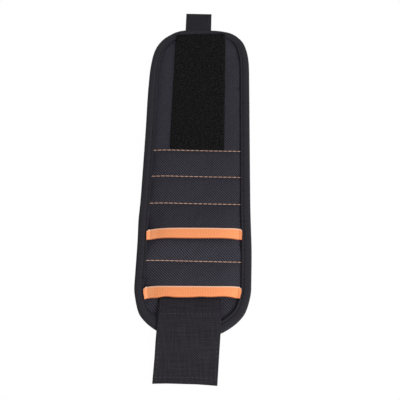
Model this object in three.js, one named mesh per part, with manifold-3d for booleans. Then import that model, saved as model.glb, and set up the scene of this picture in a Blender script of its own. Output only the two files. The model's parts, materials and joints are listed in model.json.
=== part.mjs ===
// A magnetic wristband for holding screws and bits: a padded cloth band with rows of disc magnets
// sewn in behind the outer cloth, two pockets with elastic mouths, a wide strap with hook tape at
// one end and a loop-tape field with a pull tab at the other.
//
// Millimetres, +Z up. The band lies flat on its lining with the outer face up and +Y towards the
// pull tab. The band is flexible, so it is built as ten stiff sections that meet at bending lines:
// the quilting rows, the pocket mouths and the creases of the loop-tape field.

import * as THREE from 'three';
import { mergeVertices } from 'three/addons/utils/BufferGeometryUtils.js';
import Module from 'manifold-3d';

const wasm = await Module();
wasm.setup();

// Outline of the band, seen from above
const BAND_WIDTH = 90;
const TOP_DEPTH = 55;        // length over which the loop-tape end narrows
const TOP_POWER = 3.2;       // superellipse power of that end
const END_DEPTH = 41.5;      // length over which the strap end narrows
const END_POWER = 2;         // a plain ellipse

// Lengths, from the loop-tape end to the strap end; the loop-tape field takes what the rest leaves
const BAND_LENGTH = 293;
const LOOP_SECTIONS = 4;
const PLAIN_ROW = 25;        // two of these
const UPPER_POCKET_ROW = 31;
const MIDDLE_ROW = 19;
const LOWER_POCKET_ROW = 29.5;
const STRAP_SECTION = 32.5;

// Plies and the room between them
const CLOTH = 0.8;
const TAPE = 0.7;            // edge binding tape
const ELASTIC = 0.5;         // one ply of the folded pocket trim
const WEBBING = 1.1;         // the wide strap
const SEAM = 0.25;           // room between two plies that are sewn together
const SIDE_GAP = 0.3;        // room between pieces side by side

// Edge binding: a folded tape round the whole band
const BINDING_LIP = 8;       // visible width on each face

// Bending lines: the sections turn about an axis half way up the binding
const HINGE_GAP = 0.4;
const WRAP_BEND = THREE.MathUtils.degToRad(46);
const BACK_BEND = THREE.MathUtils.degToRad(10);

// Magnets: two in each quilted row, let into the pad
const MAGNET_DIAMETER = 15;
const MAGNET_THICKNESS = 1.5;
const MAGNET_CHAMFER = 0.25;
const MAGNET_SPACING = 38;   // between the two centres of a row
const MAGNET_FLOOR = 1.35;   // how deep the pad gives way under a magnet
const PLAIN_CROWN = 1.0;     // rise of the cloth over the magnets
const POCKET_CROWN = 0.55;

// Loop tape, hook tape, strap and pull tab
const LOOP_WIDTH = 46;
const LOOP_HEIGHT = 1.9;
const HOOK_WIDTH = 44;
const HOOK_HEIGHT = 1.6;
const HOOK_START = 9;        // from the band's end
const HOOK_MARGIN = 1.5;     // strap left bare beyond the hook tape
const STRAP_WIDTH = 48;
const STRAP_ROOT_GAP = 1;    // from the lower mouth to the strap's sewn edge
const STRAP_REACH = 32;      // beyond the band's end
const STRAP_DROP = 14;       // length over which the strap comes down to the table
const STRAP_DRIFT = 3.6;     // the strap is sewn on a little off square
const STRAP_CLIMB_FROM = 22; // where the strap starts to climb over the binding, from the band's end
const STRAP_CLIMB_TO = 17;
const TAB_WIDTH = 24;
const TAB_LENGTH = 20.5;
const TAB_PLY = 0.8;
const TAB_LOFT = 2.4;        // height of the folded loop at its rounded end
const TAB_SLIT = 0.5;        // how far below the seam the slit between the plies starts
const TAB_SEWN = 5;          // length over which its two plies lie together
const TAB_OFFSET = -2.4;     // sewn in left of the middle

// Pocket mouths
const MOUTH_CLEAR = 4.75;    // room under the middle of each mouth
const TRIM_HEIGHT = 8.4;     // width of the folded elastic
const TRIM_ROUND = 0.8;      // length over which its fold rounds off
const TRIM_NOSE = 0.8;       // height of the flat left at the fold
const TRIM_OVERHANG = 1.5;   // beyond the bending line
const TRIM_END_GAP = 2;      // between the elastic's ends and the binding

// Levels above the table that follow from the plies
const HALF_WIDTH = BAND_WIDTH / 2;
const PAD_FLANGE = TAPE + SEAM;
const LOW_PAD_TOP = PAD_FLANGE + CLOTH;
const LOW_CLOTH = LOW_PAD_TOP + SEAM;
const LOW_CLOTH_TOP = LOW_CLOTH + CLOTH;
const HIGH_PAD_TOP = LOW_CLOTH_TOP;
const HIGH_CLOTH = LOW_CLOTH_TOP + SEAM;
const HIGH_CLOTH_TOP = HIGH_CLOTH + CLOTH;
const UPPER_LIP = HIGH_CLOTH_TOP + SEAM;
const RIM_TOP = UPPER_LIP + TAPE;
const HINGE_HEIGHT = RIM_TOP / 2;
const CLOTH_INSET = HINGE_HEIGHT;
const MOUTH_RISE = LOW_CLOTH_TOP + MOUTH_CLEAR + ELASTIC + SEAM - HIGH_CLOTH;
const STRAP_ON_RIM = RIM_TOP + SEAM;
const STRAP_ON_TAPE = HOOK_HEIGHT + SEAM;

// Stations along the band, measured from the loop-tape end
const QUILTED_LENGTH = 2 * PLAIN_ROW + UPPER_POCKET_ROW + MIDDLE_ROW + LOWER_POCKET_ROW;
const LOOP_END = BAND_LENGTH - STRAP_SECTION - QUILTED_LENGTH;
const LOOP_SECTION = LOOP_END / LOOP_SECTIONS;
const ROW_2 = LOOP_END + PLAIN_ROW;
const ROW_3 = ROW_2 + PLAIN_ROW;
const UPPER_MOUTH = ROW_3 + UPPER_POCKET_ROW;
const ROW_4 = UPPER_MOUTH + MIDDLE_ROW;
const LOWER_MOUTH = ROW_4 + LOWER_POCKET_ROW;
const END_START = BAND_LENGTH - END_DEPTH;

// The origin is below the middle of the whole length, pull tab to strap end
const TOP_Y = (BAND_LENGTH + STRAP_REACH - TAB_LENGTH) / 2;
const toY = (u) => TOP_Y - u;

const material = (color, roughness, metalness = 0) =>
  new THREE.MeshStandardMaterial({ color, roughness, metalness });

const blackCloth = material(0x343238, 0.85);
const blackTape = material(0x2c2a30, 0.8);
const blackMesh = material(0x26262a, 0.95);
const blackLoop = material(0x141415, 1);
const blackHook = material(0x1b1b1d, 0.6);
const blackWebbing = material(0x2e2d32, 0.75);
const orangeElastic = material(0xfaa070, 0.7);
const nickel = material(0xc4c6c8, 0.25, 1);

const wristband = new THREE.Group();

function addPiece(name, geometry, look) {
  const mesh = new THREE.Mesh(geometry, look);
  mesh.name = name;
  wristband.add(mesh);
}

// The band's edge at a station: half width and the outward direction there
function rim(u) {
  const atTop = u < TOP_DEPTH;
  const atEnd = u > END_START;
  if (!atTop && !atEnd) return { x: HALF_WIDTH, nx: 1, nu: 0 };
  const depth = atTop ? TOP_DEPTH : END_DEPTH;
  const power = atTop ? TOP_POWER : END_POWER;
  const along = atTop ? TOP_DEPTH - u : u - END_START;
  const part = Math.min(along / depth, 1);
  const across = Math.pow(1 - Math.pow(part, power), 1 / power);
  const slopeX = Math.pow(across, power - 1) / HALF_WIDTH;
  const slopeU = Math.pow(part, power - 1) / depth;
  const size = Math.hypot(slopeX, slopeU);
  const side = atTop ? -1 : 1;
  return { x: HALF_WIDTH * across, nx: slopeX / size, nu: (side * slopeU) / size };
}

// Half width of the band at a station, inside a margin all round
function halfWidth(u, inset) {
  const edge = rim(u);
  return edge.x - inset / edge.nx;
}

// How far a section stays back from a bending line at a given height
function setBack(z) {
  const below = Math.max(HINGE_HEIGHT - z, 0) * Math.tan(WRAP_BEND / 2);
  const above = Math.max(z - HINGE_HEIGHT, 0) * Math.tan(BACK_BEND / 2);
  return HINGE_GAP / 2 + below + above;
}

const seamCut = (u, side) => (z) => u + side * setBack(z);
const squareCut = (u) => () => u;

// A closed geometry from points and triangles, its faces turned outwards
function closedGeometry(points, triangles) {
  let volume = 0;
  for (const [a, b, c] of triangles) {
    volume += points[a].dot(new THREE.Vector3().crossVectors(points[b], points[c]));
  }
  const faces = volume < 0 ? triangles.map(([a, b, c]) => [a, c, b]) : triangles;
  const geometry = new THREE.BufferGeometry().setFromPoints(points);
  geometry.setIndex(faces.flat());
  geometry.computeVertexNormals();
  return geometry;
}

// Triangles that fill an outline, wound the same way round as the outline itself
function capTriangles(outline) {
  const clockwise = THREE.ShapeUtils.isClockWise(outline);
  return THREE.ShapeUtils.triangulateShape(outline, []).map(([a, b, c]) => {
    const corner = [outline[a], outline[b], outline[c]];
    return THREE.ShapeUtils.isClockWise(corner) === clockwise ? [a, b, c] : [a, c, b];
  });
}

// A loft through rings with the same number of points, closed by flat ends.
// The two ends are filled in the plane that "flatten" projects them on.
function loft(rings, flatten) {
  const count = rings[0].length;
  const points = rings.flat();
  const triangles = [];
  for (let ring = 0; ring + 1 < rings.length; ring++) {
    for (let k = 0; k < count; k++) {
      const a = ring * count + k;
      const b = ring * count + ((k + 1) % count);
      triangles.push([a, b, b + count], [a, b + count, a + count]);
    }
  }
  const last = (rings.length - 1) * count;
  for (const [a, b, c] of capTriangles(rings[0].map(flatten))) {
    triangles.push([a, c, b]);
  }
  for (const [a, b, c] of capTriangles(rings.at(-1).map(flatten))) {
    triangles.push([last + a, last + b, last + c]);
  }
  return closedGeometry(points, triangles);
}

const acrossBand = (p) => new THREE.Vector2(p.x, p.z);
const alongBand = (p) => new THREE.Vector2(p.y, p.z);

// A sheet between two surfaces, lofted along the band. "columns" gives the x places of a station
// from left to right; the end cuts give the station of each end point from its height.
function sheet({ stations, columns, under, over, startCut, endCut }) {
  const rings = stations.map((u, index) => {
    const xs = columns(u);
    const low = xs.map((x) => [x, under(x, u)]);
    const high = xs.map((x) => [x, over(x, u)]).reverse();
    return [...low, ...high].map(([x, z]) => {
      let place = u;
      if (index === 0) place = startCut(z);
      if (index === stations.length - 1) place = endCut(z);
      return new THREE.Vector3(x, toY(place), z);
    });
  });
  return loft(rings, acrossBand);
}

const spread = (from, to, steps) =>
  Array.from({ length: steps + 1 }, (_, k) => THREE.MathUtils.lerp(from, to, k / steps));

// Points round one end of the band inside a margin, from the right side to the left
function endRim(atTop, inset, cut, steps) {
  const depth = atTop ? TOP_DEPTH : END_DEPTH;
  const power = atTop ? TOP_POWER : END_POWER;
  const side = atTop ? -1 : 1;
  const base = atTop ? TOP_DEPTH : END_START;
  const first = Math.asin(Math.pow((side * (cut - base)) / depth, power / 2));
  const right = [new THREE.Vector2(halfWidth(cut, inset), cut)];
  for (const angle of spread(first, Math.PI / 2, steps).slice(1)) {
    const part = Math.pow(Math.sin(angle), 2 / power);
    const across = Math.pow(Math.max(Math.cos(angle), 0), 2 / power);
    const slopeX = Math.pow(across, power - 1) / HALF_WIDTH;
    const slopeU = Math.pow(part, power - 1) / depth;
    const size = Math.hypot(slopeX, slopeU);
    const x = HALF_WIDTH * across - (inset * slopeX) / size;
    const u = base + side * (depth * part - (inset * slopeU) / size);
    right.push(new THREE.Vector2(Math.max(x, 0), u));
  }
  const left = right.slice(0, -1).reverse().map((p) => new THREE.Vector2(-p.x, p.y));
  return [...right, ...left];
}

// A flat plate that fills one end of the band, between two heights
function endPlate(atTop, inset, cut, low, high) {
  const outline = endRim(atTop, inset, cut, 9).map((p) => new THREE.Vector2(p.x, toY(p.y)));
  const plate = new THREE.ExtrudeGeometry(new THREE.Shape(outline), {
    depth: high - low,
    bevelEnabled: false,
  });
  return plate.translate(0, 0, low);
}

function toSolid(geometry) {
  const bare = geometry.clone();
  bare.deleteAttribute('normal');
  bare.deleteAttribute('uv');
  const merged = mergeVertices(bare, 1e-4);
  return new wasm.Manifold(new wasm.Mesh({
    numProp: 3,
    vertProperties: new Float32Array(merged.attributes.position.array),
    triVerts: new Uint32Array(merged.index.array),
  }));
}

function fromSolid(solid) {
  const mesh = solid.getMesh();
  const geometry = new THREE.BufferGeometry();
  geometry.setAttribute('position', new THREE.BufferAttribute(mesh.vertProperties, 3));
  geometry.setIndex(new THREE.BufferAttribute(mesh.triVerts, 1));
  geometry.computeVertexNormals();
  return geometry;
}

// Edge binding: the folded tape's section, as distance in from the edge and height
function bindingSection() {
  const radius = HINGE_HEIGHT;
  const section = [[BINDING_LIP, 0]];
  for (const angle of spread(-Math.PI / 2, Math.PI / 2, 6)) {
    section.push([radius - radius * Math.cos(angle), radius + radius * Math.sin(angle)]);
  }
  section.push([BINDING_LIP, RIM_TOP], [BINDING_LIP, UPPER_LIP]);
  const inner = radius - TAPE;
  for (const angle of spread(Math.PI / 2, -Math.PI / 2, 4)) {
    section.push([radius - inner * Math.cos(angle), radius + inner * Math.sin(angle)]);
  }
  section.push([BINDING_LIP, TAPE]);
  return section;
}

// The binding along one side, between two bending lines
function sideBinding(side, from, to) {
  const section = bindingSection();
  const stations = [from, (2 * from + to) / 3, (from + 2 * to) / 3, to];
  const rings = stations.map((u, index) => section.map(([inset, z]) => {
    let place = u;
    if (index === 0) place = from + setBack(z);
    if (index === stations.length - 1) place = to - setBack(z);
    return new THREE.Vector3(side * halfWidth(u, inset), toY(place), z);
  }));
  return loft(rings, acrossBand);
}

// The binding round one end of the band
function endBinding(atTop, cut) {
  const section = bindingSection();
  const steps = 12;
  const loops = section.map(([inset, z]) => {
    const back = atTop ? cut - setBack(z) : cut + setBack(z);
    return endRim(atTop, inset, back, steps);
  });
  const rings = loops[0].map((_, k) => section.map(([, z], j) =>
    new THREE.Vector3(loops[j][k].x, toY(loops[j][k].y), z)));
  return loft(rings, acrossBand);
}

// Outer cloth of a section that lies flat
function flatCloth(from, to, level) {
  return sheet({
    stations: spread(from, to, 3),
    columns: (u) => [-halfWidth(u, CLOTH_INSET), halfWidth(u, CLOTH_INSET)],
    under: () => level,
    over: () => level + CLOTH,
    startCut: seamCut(from, 1),
    endCut: seamCut(to, -1),
  });
}

// Places across the band: the flange in the binding and the free cloth between
const FREE_COLUMNS = [-0.9, -0.72, -0.4, 0, 0.4, 0.72, 0.9];

function clothColumns(u) {
  const edge = halfWidth(u, CLOTH_INSET);
  const inner = halfWidth(u, BINDING_LIP);
  const free = FREE_COLUMNS.map((part) => part * inner);
  return [-edge, -inner, ...free, inner, edge];
}

const flatTopped = (part, power) => Math.max(1 - Math.pow(Math.min(Math.abs(part), 1), power), 0);

// Outer cloth of a quilted row, crowned over its magnets
function crownedCloth(from, to, level, crown) {
  const middle = (from + to) / 2;
  const half = (to - from) / 2;
  const under = (x, u) => level
    + crown * flatTopped((u - middle) / half, 4) * flatTopped(x / halfWidth(u, BINDING_LIP), 6);
  return sheet({
    stations: [-1, -0.84, -0.6, 0, 0.6, 0.84, 1].map((part) => middle + part * half),
    columns: clothColumns,
    under,
    over: (x, u) => under(x, u) + CLOTH,
    startCut: seamCut(from, 1),
    endCut: seamCut(to, -1),
  });
}

// Padded lining of a section between bending lines: a pad with a flange held in the binding
function sectionLining(from, to, top) {
  const middle = (from + to) / 2;
  const rings = [from, middle, to].map((u, index) => {
    const edge = halfWidth(u, CLOTH_INSET);
    const pad = halfWidth(u, BINDING_LIP + SIDE_GAP);
    const section = [[-edge, PAD_FLANGE], [-pad, PAD_FLANGE], [-pad, 0], [pad, 0],
      [pad, PAD_FLANGE], [edge, PAD_FLANGE], [edge, top], [-edge, top]];
    return section.map(([x, z]) => {
      let place = u;
      if (index === 0) place = from + setBack(z);
      if (index === 2) place = to - setBack(z);
      return new THREE.Vector3(x, toY(place), z);
    });
  });
  return loft(rings, acrossBand);
}

// Padded lining of one end of the band
function endLining(atTop, cut, top) {
  const back = (z) => (atTop ? cut - setBack(z) : cut + setBack(z));
  const flange = endPlate(atTop, CLOTH_INSET, back(PAD_FLANGE), PAD_FLANGE, top);
  const padTop = (PAD_FLANGE + top) / 2;
  const pad = endPlate(atTop, BINDING_LIP + SIDE_GAP, back(0), 0, padTop);
  return fromSolid(toSolid(flange).add(toSolid(pad)));
}

// A coated disc magnet with its edges broken, standing on z = 0
function magnetGeometry() {
  const radius = MAGNET_DIAMETER / 2;
  const profile = [[0, 0], [radius - MAGNET_CHAMFER, 0], [radius, MAGNET_CHAMFER],
    [radius, MAGNET_THICKNESS - MAGNET_CHAMFER], [radius - MAGNET_CHAMFER, MAGNET_THICKNESS],
    [0, MAGNET_THICKNESS]].map(([r, z]) => new THREE.Vector2(r, z));
  const disc = mergeVertices(new THREE.LatheGeometry(profile, 20).deleteAttribute('uv'));
  return disc.rotateX(Math.PI / 2);
}

// A quilted row: lining with two recesses, the magnets in them and the cloth over them
function quiltedRow(row, from, to, padTop, clothLevel, crown) {
  const middle = toY((from + to) / 2);
  const floor = padTop - MAGNET_FLOOR;
  const drill = new THREE.CylinderGeometry(
    MAGNET_DIAMETER / 2 + SIDE_GAP, MAGNET_DIAMETER / 2 + SIDE_GAP, padTop, 20);
  drill.rotateX(Math.PI / 2).translate(0, 0, floor + padTop / 2);
  let lining = toSolid(sectionLining(from, to, padTop));
  for (const [hand, x] of [['left', -MAGNET_SPACING / 2], ['right', MAGNET_SPACING / 2]]) {
    lining = lining.subtract(toSolid(drill.clone().translate(x, middle, 0)));
    const magnet = magnetGeometry().translate(x, middle, floor + SEAM);
    addPiece(`magnet_${row}_${hand}`, magnet, nickel);
  }
  addPiece(`lining_row_${row}`, fromSolid(lining), blackMesh);
  addPiece(`cloth_row_${row}`, crownedCloth(from, to, clothLevel, crown), blackCloth);
  for (const [hand, side] of [['left', -1], ['right', 1]]) {
    addPiece(`binding_row_${row}_${hand}`, sideBinding(side, from, to), blackTape);
  }
}

// A pocket front: cloth sewn down along its root row and at both sides, arched up at its mouth
function pocketRise(x, u, root, mouth) {
  const along = Math.min((u - root) / (mouth - root), 1);
  const across = flatTopped(x / halfWidth(Math.min(u, mouth), BINDING_LIP), 4);
  return MOUTH_RISE * Math.sin((along * Math.PI) / 2) * across;
}

function pocketFront(root, mouth) {
  const under = (x, u) => HIGH_CLOTH + pocketRise(x, u, root, mouth);
  const bulge = [0, 0.12, 0.3, 0.5].map((part) => THREE.MathUtils.lerp(root, mouth, part));
  const fold = mouth + TRIM_OVERHANG;
  return sheet({
    stations: [...bulge, fold - TRIM_HEIGHT, fold - TRIM_HEIGHT / 2, mouth],
    columns: clothColumns,
    under,
    over: (x, u) => under(x, u) + CLOTH,
    startCut: seamCut(root, 1),
    endCut: (z) => mouth - 2 * HINGE_GAP,
  });
}

// The elastic folded over a pocket's mouth, swept across the band along the arch
function pocketTrim(root, mouth) {
  const fold = mouth + TRIM_OVERHANG;
  const hem = fold - TRIM_HEIGHT;
  const slit = mouth - HINGE_GAP;
  const reach = halfWidth(mouth, BINDING_LIP) - TRIM_END_GAP;
  const inner = HIGH_CLOTH - SEAM;
  const outer = HIGH_CLOTH_TOP + SEAM;
  const middle = (inner + outer) / 2;
  const section = [[hem, inner - ELASTIC], [(hem + fold) / 2, inner - ELASTIC],
    [fold - TRIM_ROUND, inner - ELASTIC], [fold, middle - TRIM_NOSE / 2], [fold, middle + TRIM_NOSE / 2],
    [fold - TRIM_ROUND, outer + ELASTIC], [(hem + fold) / 2, outer + ELASTIC], [hem, outer + ELASTIC],
    [hem, outer], [(hem + fold) / 2, outer], [slit, outer],
    [slit, inner], [(hem + fold) / 2, inner], [hem, inner]];
  const inside = FREE_COLUMNS.map((part) => part * halfWidth(mouth, BINDING_LIP));
  const rings = [-reach, ...inside, reach].map((x) => section.map(([u, z]) =>
    new THREE.Vector3(x, toY(u), z + pocketRise(x, u, root, mouth))));
  return loft(rings, alongBand);
}

// Loop-tape field: four sections with the loop tape on top
const loopField = { half: LOOP_WIDTH / 2, low: HIGH_CLOTH_TOP + SEAM };

function loopTape(from, to, startCut) {
  return sheet({
    stations: [from, to],
    columns: () => [-loopField.half, loopField.half],
    under: () => loopField.low,
    over: () => loopField.low + LOOP_HEIGHT,
    startCut,
    endCut: seamCut(to, -1),
  });
}

for (let section = 1; section <= LOOP_SECTIONS; section++) {
  const from = (section - 1) * LOOP_SECTION;
  const to = section * LOOP_SECTION;
  const atTop = section === 1;
  if (atTop) {
    const cut = to - setBack(HIGH_CLOTH_TOP);
    addPiece('cloth_loop_1', endPlate(true, CLOTH_INSET, cut, HIGH_CLOTH, HIGH_CLOTH_TOP), blackCloth);
    addPiece('lining_loop_1', endLining(true, to, HIGH_PAD_TOP), blackMesh);
    addPiece('binding_top_end', endBinding(true, to), blackTape);
  } else {
    addPiece(`cloth_loop_${section}`, flatCloth(from, to, HIGH_CLOTH), blackCloth);
    addPiece(`lining_loop_${section}`, sectionLining(from, to, HIGH_PAD_TOP), blackMesh);
    addPiece(`binding_loop_${section}_left`, sideBinding(-1, from, to), blackTape);
    addPiece(`binding_loop_${section}_right`, sideBinding(1, from, to), blackTape);
  }
  let tape = loopTape(from, to, atTop ? squareCut(from) : seamCut(from, 1));
  if (atTop) {
    const inside = endPlate(true, BINDING_LIP + SIDE_GAP, to, HIGH_CLOTH_TOP, 2 * RIM_TOP);
    tape = fromSolid(toSolid(tape).intersect(toSolid(inside)));
  }
  addPiece(`loop_tape_${section}`, tape, blackLoop);
}

// Quilted rows: the plain ones lie as high as a pocket front, the others a ply lower
quiltedRow(1, LOOP_END, ROW_2, HIGH_PAD_TOP, HIGH_CLOTH, PLAIN_CROWN);
quiltedRow(2, ROW_2, ROW_3, HIGH_PAD_TOP, HIGH_CLOTH, PLAIN_CROWN);
quiltedRow(3, ROW_3, UPPER_MOUTH, LOW_PAD_TOP, LOW_CLOTH, POCKET_CROWN);
quiltedRow(4, UPPER_MOUTH, ROW_4, LOW_PAD_TOP, LOW_CLOTH, POCKET_CROWN);
quiltedRow(5, ROW_4, LOWER_MOUTH, LOW_PAD_TOP, LOW_CLOTH, POCKET_CROWN);

addPiece('pocket_upper', pocketFront(ROW_3, UPPER_MOUTH), blackCloth);
addPiece('trim_upper', pocketTrim(ROW_3, UPPER_MOUTH), orangeElastic);
addPiece('pocket_lower', pocketFront(ROW_4, LOWER_MOUTH), blackCloth);
addPiece('trim_lower', pocketTrim(ROW_4, LOWER_MOUTH), orangeElastic);

// Strap end
const endClothCut = LOWER_MOUTH + setBack(LOW_CLOTH);
addPiece('cloth_strap_end',
  endPlate(false, CLOTH_INSET, endClothCut, LOW_CLOTH, LOW_CLOTH_TOP), blackCloth);
addPiece('lining_strap_end', endLining(false, LOWER_MOUTH, LOW_PAD_TOP), blackMesh);
addPiece('binding_strap_end', endBinding(false, LOWER_MOUTH), blackTape);

// The strap: one part is sewn on the band and climbs over the binding, the rest hangs free
const strapRoot = LOWER_MOUTH + STRAP_ROOT_GAP;
const strapMiddle = (u) =>
  -STRAP_DRIFT * ((u - strapRoot) / (BAND_LENGTH + STRAP_REACH - strapRoot));
const strapColumns = (u) => [strapMiddle(u) - STRAP_WIDTH / 2, strapMiddle(u) + STRAP_WIDTH / 2];
const hingeBack = (z) => HINGE_GAP / 2
  + (STRAP_ON_RIM + WEBBING - z) * Math.tan(WRAP_BEND / 2);

function sewnStrapLevel(x, u) {
  const climb = THREE.MathUtils.smoothstep(
    u, BAND_LENGTH - STRAP_CLIMB_FROM, BAND_LENGTH - STRAP_CLIMB_TO);
  return THREE.MathUtils.lerp(LOW_CLOTH_TOP + SEAM, STRAP_ON_RIM, climb);
}

addPiece('strap_sewn_end', sheet({
  stations: [strapRoot, ...spread(BAND_LENGTH - STRAP_CLIMB_FROM, BAND_LENGTH - STRAP_CLIMB_TO, 4),
    BAND_LENGTH],
  columns: strapColumns,
  under: sewnStrapLevel,
  over: (x, u) => sewnStrapLevel(x, u) + WEBBING,
  startCut: squareCut(strapRoot),
  endCut: (z) => BAND_LENGTH - hingeBack(z),
}), blackWebbing);

function freeStrapLevel(x, u) {
  const drop = THREE.MathUtils.smoothstep(u, BAND_LENGTH, BAND_LENGTH + STRAP_DROP);
  return THREE.MathUtils.lerp(STRAP_ON_RIM, STRAP_ON_TAPE, drop);
}

addPiece('strap_free_end', sheet({
  stations: [...spread(BAND_LENGTH, BAND_LENGTH + STRAP_DROP, 7), BAND_LENGTH + STRAP_REACH],
  columns: strapColumns,
  under: freeStrapLevel,
  over: (x, u) => freeStrapLevel(x, u) + WEBBING,
  startCut: (z) => BAND_LENGTH + hingeBack(z),
  endCut: squareCut(BAND_LENGTH + STRAP_REACH),
}), blackWebbing);

// Hook tape under the free strap, following it down
const hookFrom = BAND_LENGTH + HOOK_START;
const hookTo = BAND_LENGTH + STRAP_REACH - HOOK_MARGIN;
const hookColumns = (u) => [strapMiddle(u) - HOOK_WIDTH / 2, strapMiddle(u) + HOOK_WIDTH / 2];
addPiece('hook_tape', sheet({
  stations: [...spread(hookFrom, BAND_LENGTH + STRAP_DROP, 2), hookTo],
  columns: hookColumns,
  under: (x, u) => freeStrapLevel(x, u) - SEAM - HOOK_HEIGHT,
  over: (x, u) => freeStrapLevel(x, u) - SEAM,
  startCut: squareCut(hookFrom),
  endCut: squareCut(hookTo),
}), blackHook);

// Pull tab: a strip of webbing folded into a flat loop, pinched where it is sewn into the binding
function pullTab() {
  const root = SIDE_GAP;
  const pinch = HINGE_HEIGHT;
  const round = TAB_LOFT / 2;
  const foldFrom = TAB_LENGTH - round;
  const bore = round - TAB_PLY;
  const outline = new THREE.Shape();
  outline.moveTo(root, pinch - TAB_PLY / 2);
  outline.lineTo(root + TAB_PLY, pinch - TAB_PLY);
  outline.lineTo(foldFrom, 0);
  outline.absarc(foldFrom, round, round, -Math.PI / 2, Math.PI / 2, false);
  outline.lineTo(root + TAB_PLY, pinch + TAB_PLY);
  outline.lineTo(root, pinch + TAB_PLY / 2);
  outline.closePath();
  const slit = new THREE.Path();
  slit.moveTo(root + TAB_SEWN, pinch - TAB_SLIT);
  slit.absarc(foldFrom, round, bore, -Math.PI / 2, Math.PI / 2, false);
  slit.closePath();
  outline.holes.push(slit);
  const loop = new THREE.ExtrudeGeometry(outline, {
    depth: TAB_WIDTH,
    bevelEnabled: false,
    curveSegments: 6,
  });
  const turn = new THREE.Matrix4().makeBasis(
    new THREE.Vector3(0, 1, 0), new THREE.Vector3(0, 0, 1), new THREE.Vector3(1, 0, 0));
  return loop.applyMatrix4(turn).translate(TAB_OFFSET - TAB_WIDTH / 2, TOP_Y, 0);
}

addPiece('pull_tab', pullTab(), blackWebbing);

export default wristband;
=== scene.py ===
# %% [markdown]
# # A magnetic wristband, laid out flat
#
# A wristband that holds screws is cloth, tape and foam sewn in layers, with magnets hidden inside.
# The imported CAD model has a stiff solid for each layer. This script keeps those solids as its frame
# and puts the soft things in their place: cloth that puffs between its seams, ribbed tape, pile and
# stitches.
#
# The band can be wrapped round a wrist, so the frame bends at nine lines. Each layer is made in
# sections that run from the middle of one stiff part to the middle of the next, with one of those
# lines in each.
#
# Lengths are in millimetres until a mesh is made. A place on the band is (x, u, z): x is across it,
# u runs along it from the loop-tape end, and z is the height above the table.

# %% Load the frame
import json
import math

import bmesh
import bpy
import numpy as np
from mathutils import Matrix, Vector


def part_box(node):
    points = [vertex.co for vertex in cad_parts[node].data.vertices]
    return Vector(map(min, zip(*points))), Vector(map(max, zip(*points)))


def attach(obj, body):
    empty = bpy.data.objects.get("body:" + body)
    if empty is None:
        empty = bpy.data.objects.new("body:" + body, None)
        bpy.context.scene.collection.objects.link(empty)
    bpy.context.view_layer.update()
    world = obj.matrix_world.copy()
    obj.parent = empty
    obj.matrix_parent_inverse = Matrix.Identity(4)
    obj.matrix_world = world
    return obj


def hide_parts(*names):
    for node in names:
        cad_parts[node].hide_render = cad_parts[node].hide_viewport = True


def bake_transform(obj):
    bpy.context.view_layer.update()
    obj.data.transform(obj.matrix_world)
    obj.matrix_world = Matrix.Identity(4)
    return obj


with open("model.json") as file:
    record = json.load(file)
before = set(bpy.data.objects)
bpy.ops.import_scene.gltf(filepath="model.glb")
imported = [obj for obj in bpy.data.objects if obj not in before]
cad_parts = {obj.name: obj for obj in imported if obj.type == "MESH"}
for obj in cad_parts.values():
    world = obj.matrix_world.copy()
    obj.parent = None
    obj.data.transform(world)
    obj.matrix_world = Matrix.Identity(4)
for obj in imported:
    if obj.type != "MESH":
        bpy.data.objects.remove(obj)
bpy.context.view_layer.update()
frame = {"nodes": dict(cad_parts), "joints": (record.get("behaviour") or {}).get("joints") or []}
scene = bpy.context.scene
scene.view_settings.view_transform = "Standard"
MM = 0.001
joints = {joint["name"]: joint for joint in frame["joints"]}

# %% [markdown]
# ## Sizes
#
# Everything that touches a solid takes its size from that solid's box, so the cloth still fits if
# the CAD model changes. Only sizes that no box shows are written here as numbers.


# %% Read the sizes
def lowest(node):
    return [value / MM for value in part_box(node)[0]]


def highest(node):
    return [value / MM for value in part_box(node)[1]]


TOP_Y = highest("binding_top_end")[1]
BAND_LENGTH = TOP_Y - lowest("binding_strap_end")[1]
HALF_WIDTH = highest("binding_loop_4_right")[0]
BINDING_LIP = HALF_WIDTH - lowest("binding_row_1_right")[0]
RIM_TOP = highest("binding_row_1_left")[2]
HIGH_TOP = highest("cloth_loop_2")[2]      # top of the outer cloth
LOW_TOP = highest("cloth_strap_end")[2]    # top of the cloth a ply lower, behind the pockets
CLOTH = HIGH_TOP - lowest("cloth_loop_2")[2]
PAD_TOP = highest("lining_strap_end")[2]
SEAM = 0.25                                # room between two plies that are sewn together

BODIES = ["loop_1", "loop_2", "loop_3", "loop_4", "row_1", "row_2", "row_3", "row_4", "row_5",
          "strap_end"]
LINES = ["crease_1", "crease_2", "crease_3", "seam_1", "seam_2", "seam_3", "mouth_upper", "seam_4",
         "mouth_lower"]
LINE_AT = {line: TOP_Y - joints[line]["pos_m"][1] / MM for line in LINES}
ROW_1, ROW_2, ROW_3 = LINE_AT["seam_1"], LINE_AT["seam_2"], LINE_AT["seam_3"]
UPPER_MOUTH, ROW_4, LOWER_MOUTH = LINE_AT["mouth_upper"], LINE_AT["seam_4"], LINE_AT["mouth_lower"]
edges = [0.0, *LINE_AT.values(), BAND_LENGTH]
MIDDLES = [(low + high) / 2 for low, high in zip(edges, edges[1:])]
print(f"band {2 * HALF_WIDTH:.1f} by {BAND_LENGTH:.1f} mm, bending lines at",
      [round(at, 1) for at in LINE_AT.values()])
print(f"heights: rim {RIM_TOP:.2f}, cloth {HIGH_TOP:.2f} and {LOW_TOP:.2f}, lining {PAD_TOP:.2f}")
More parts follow.
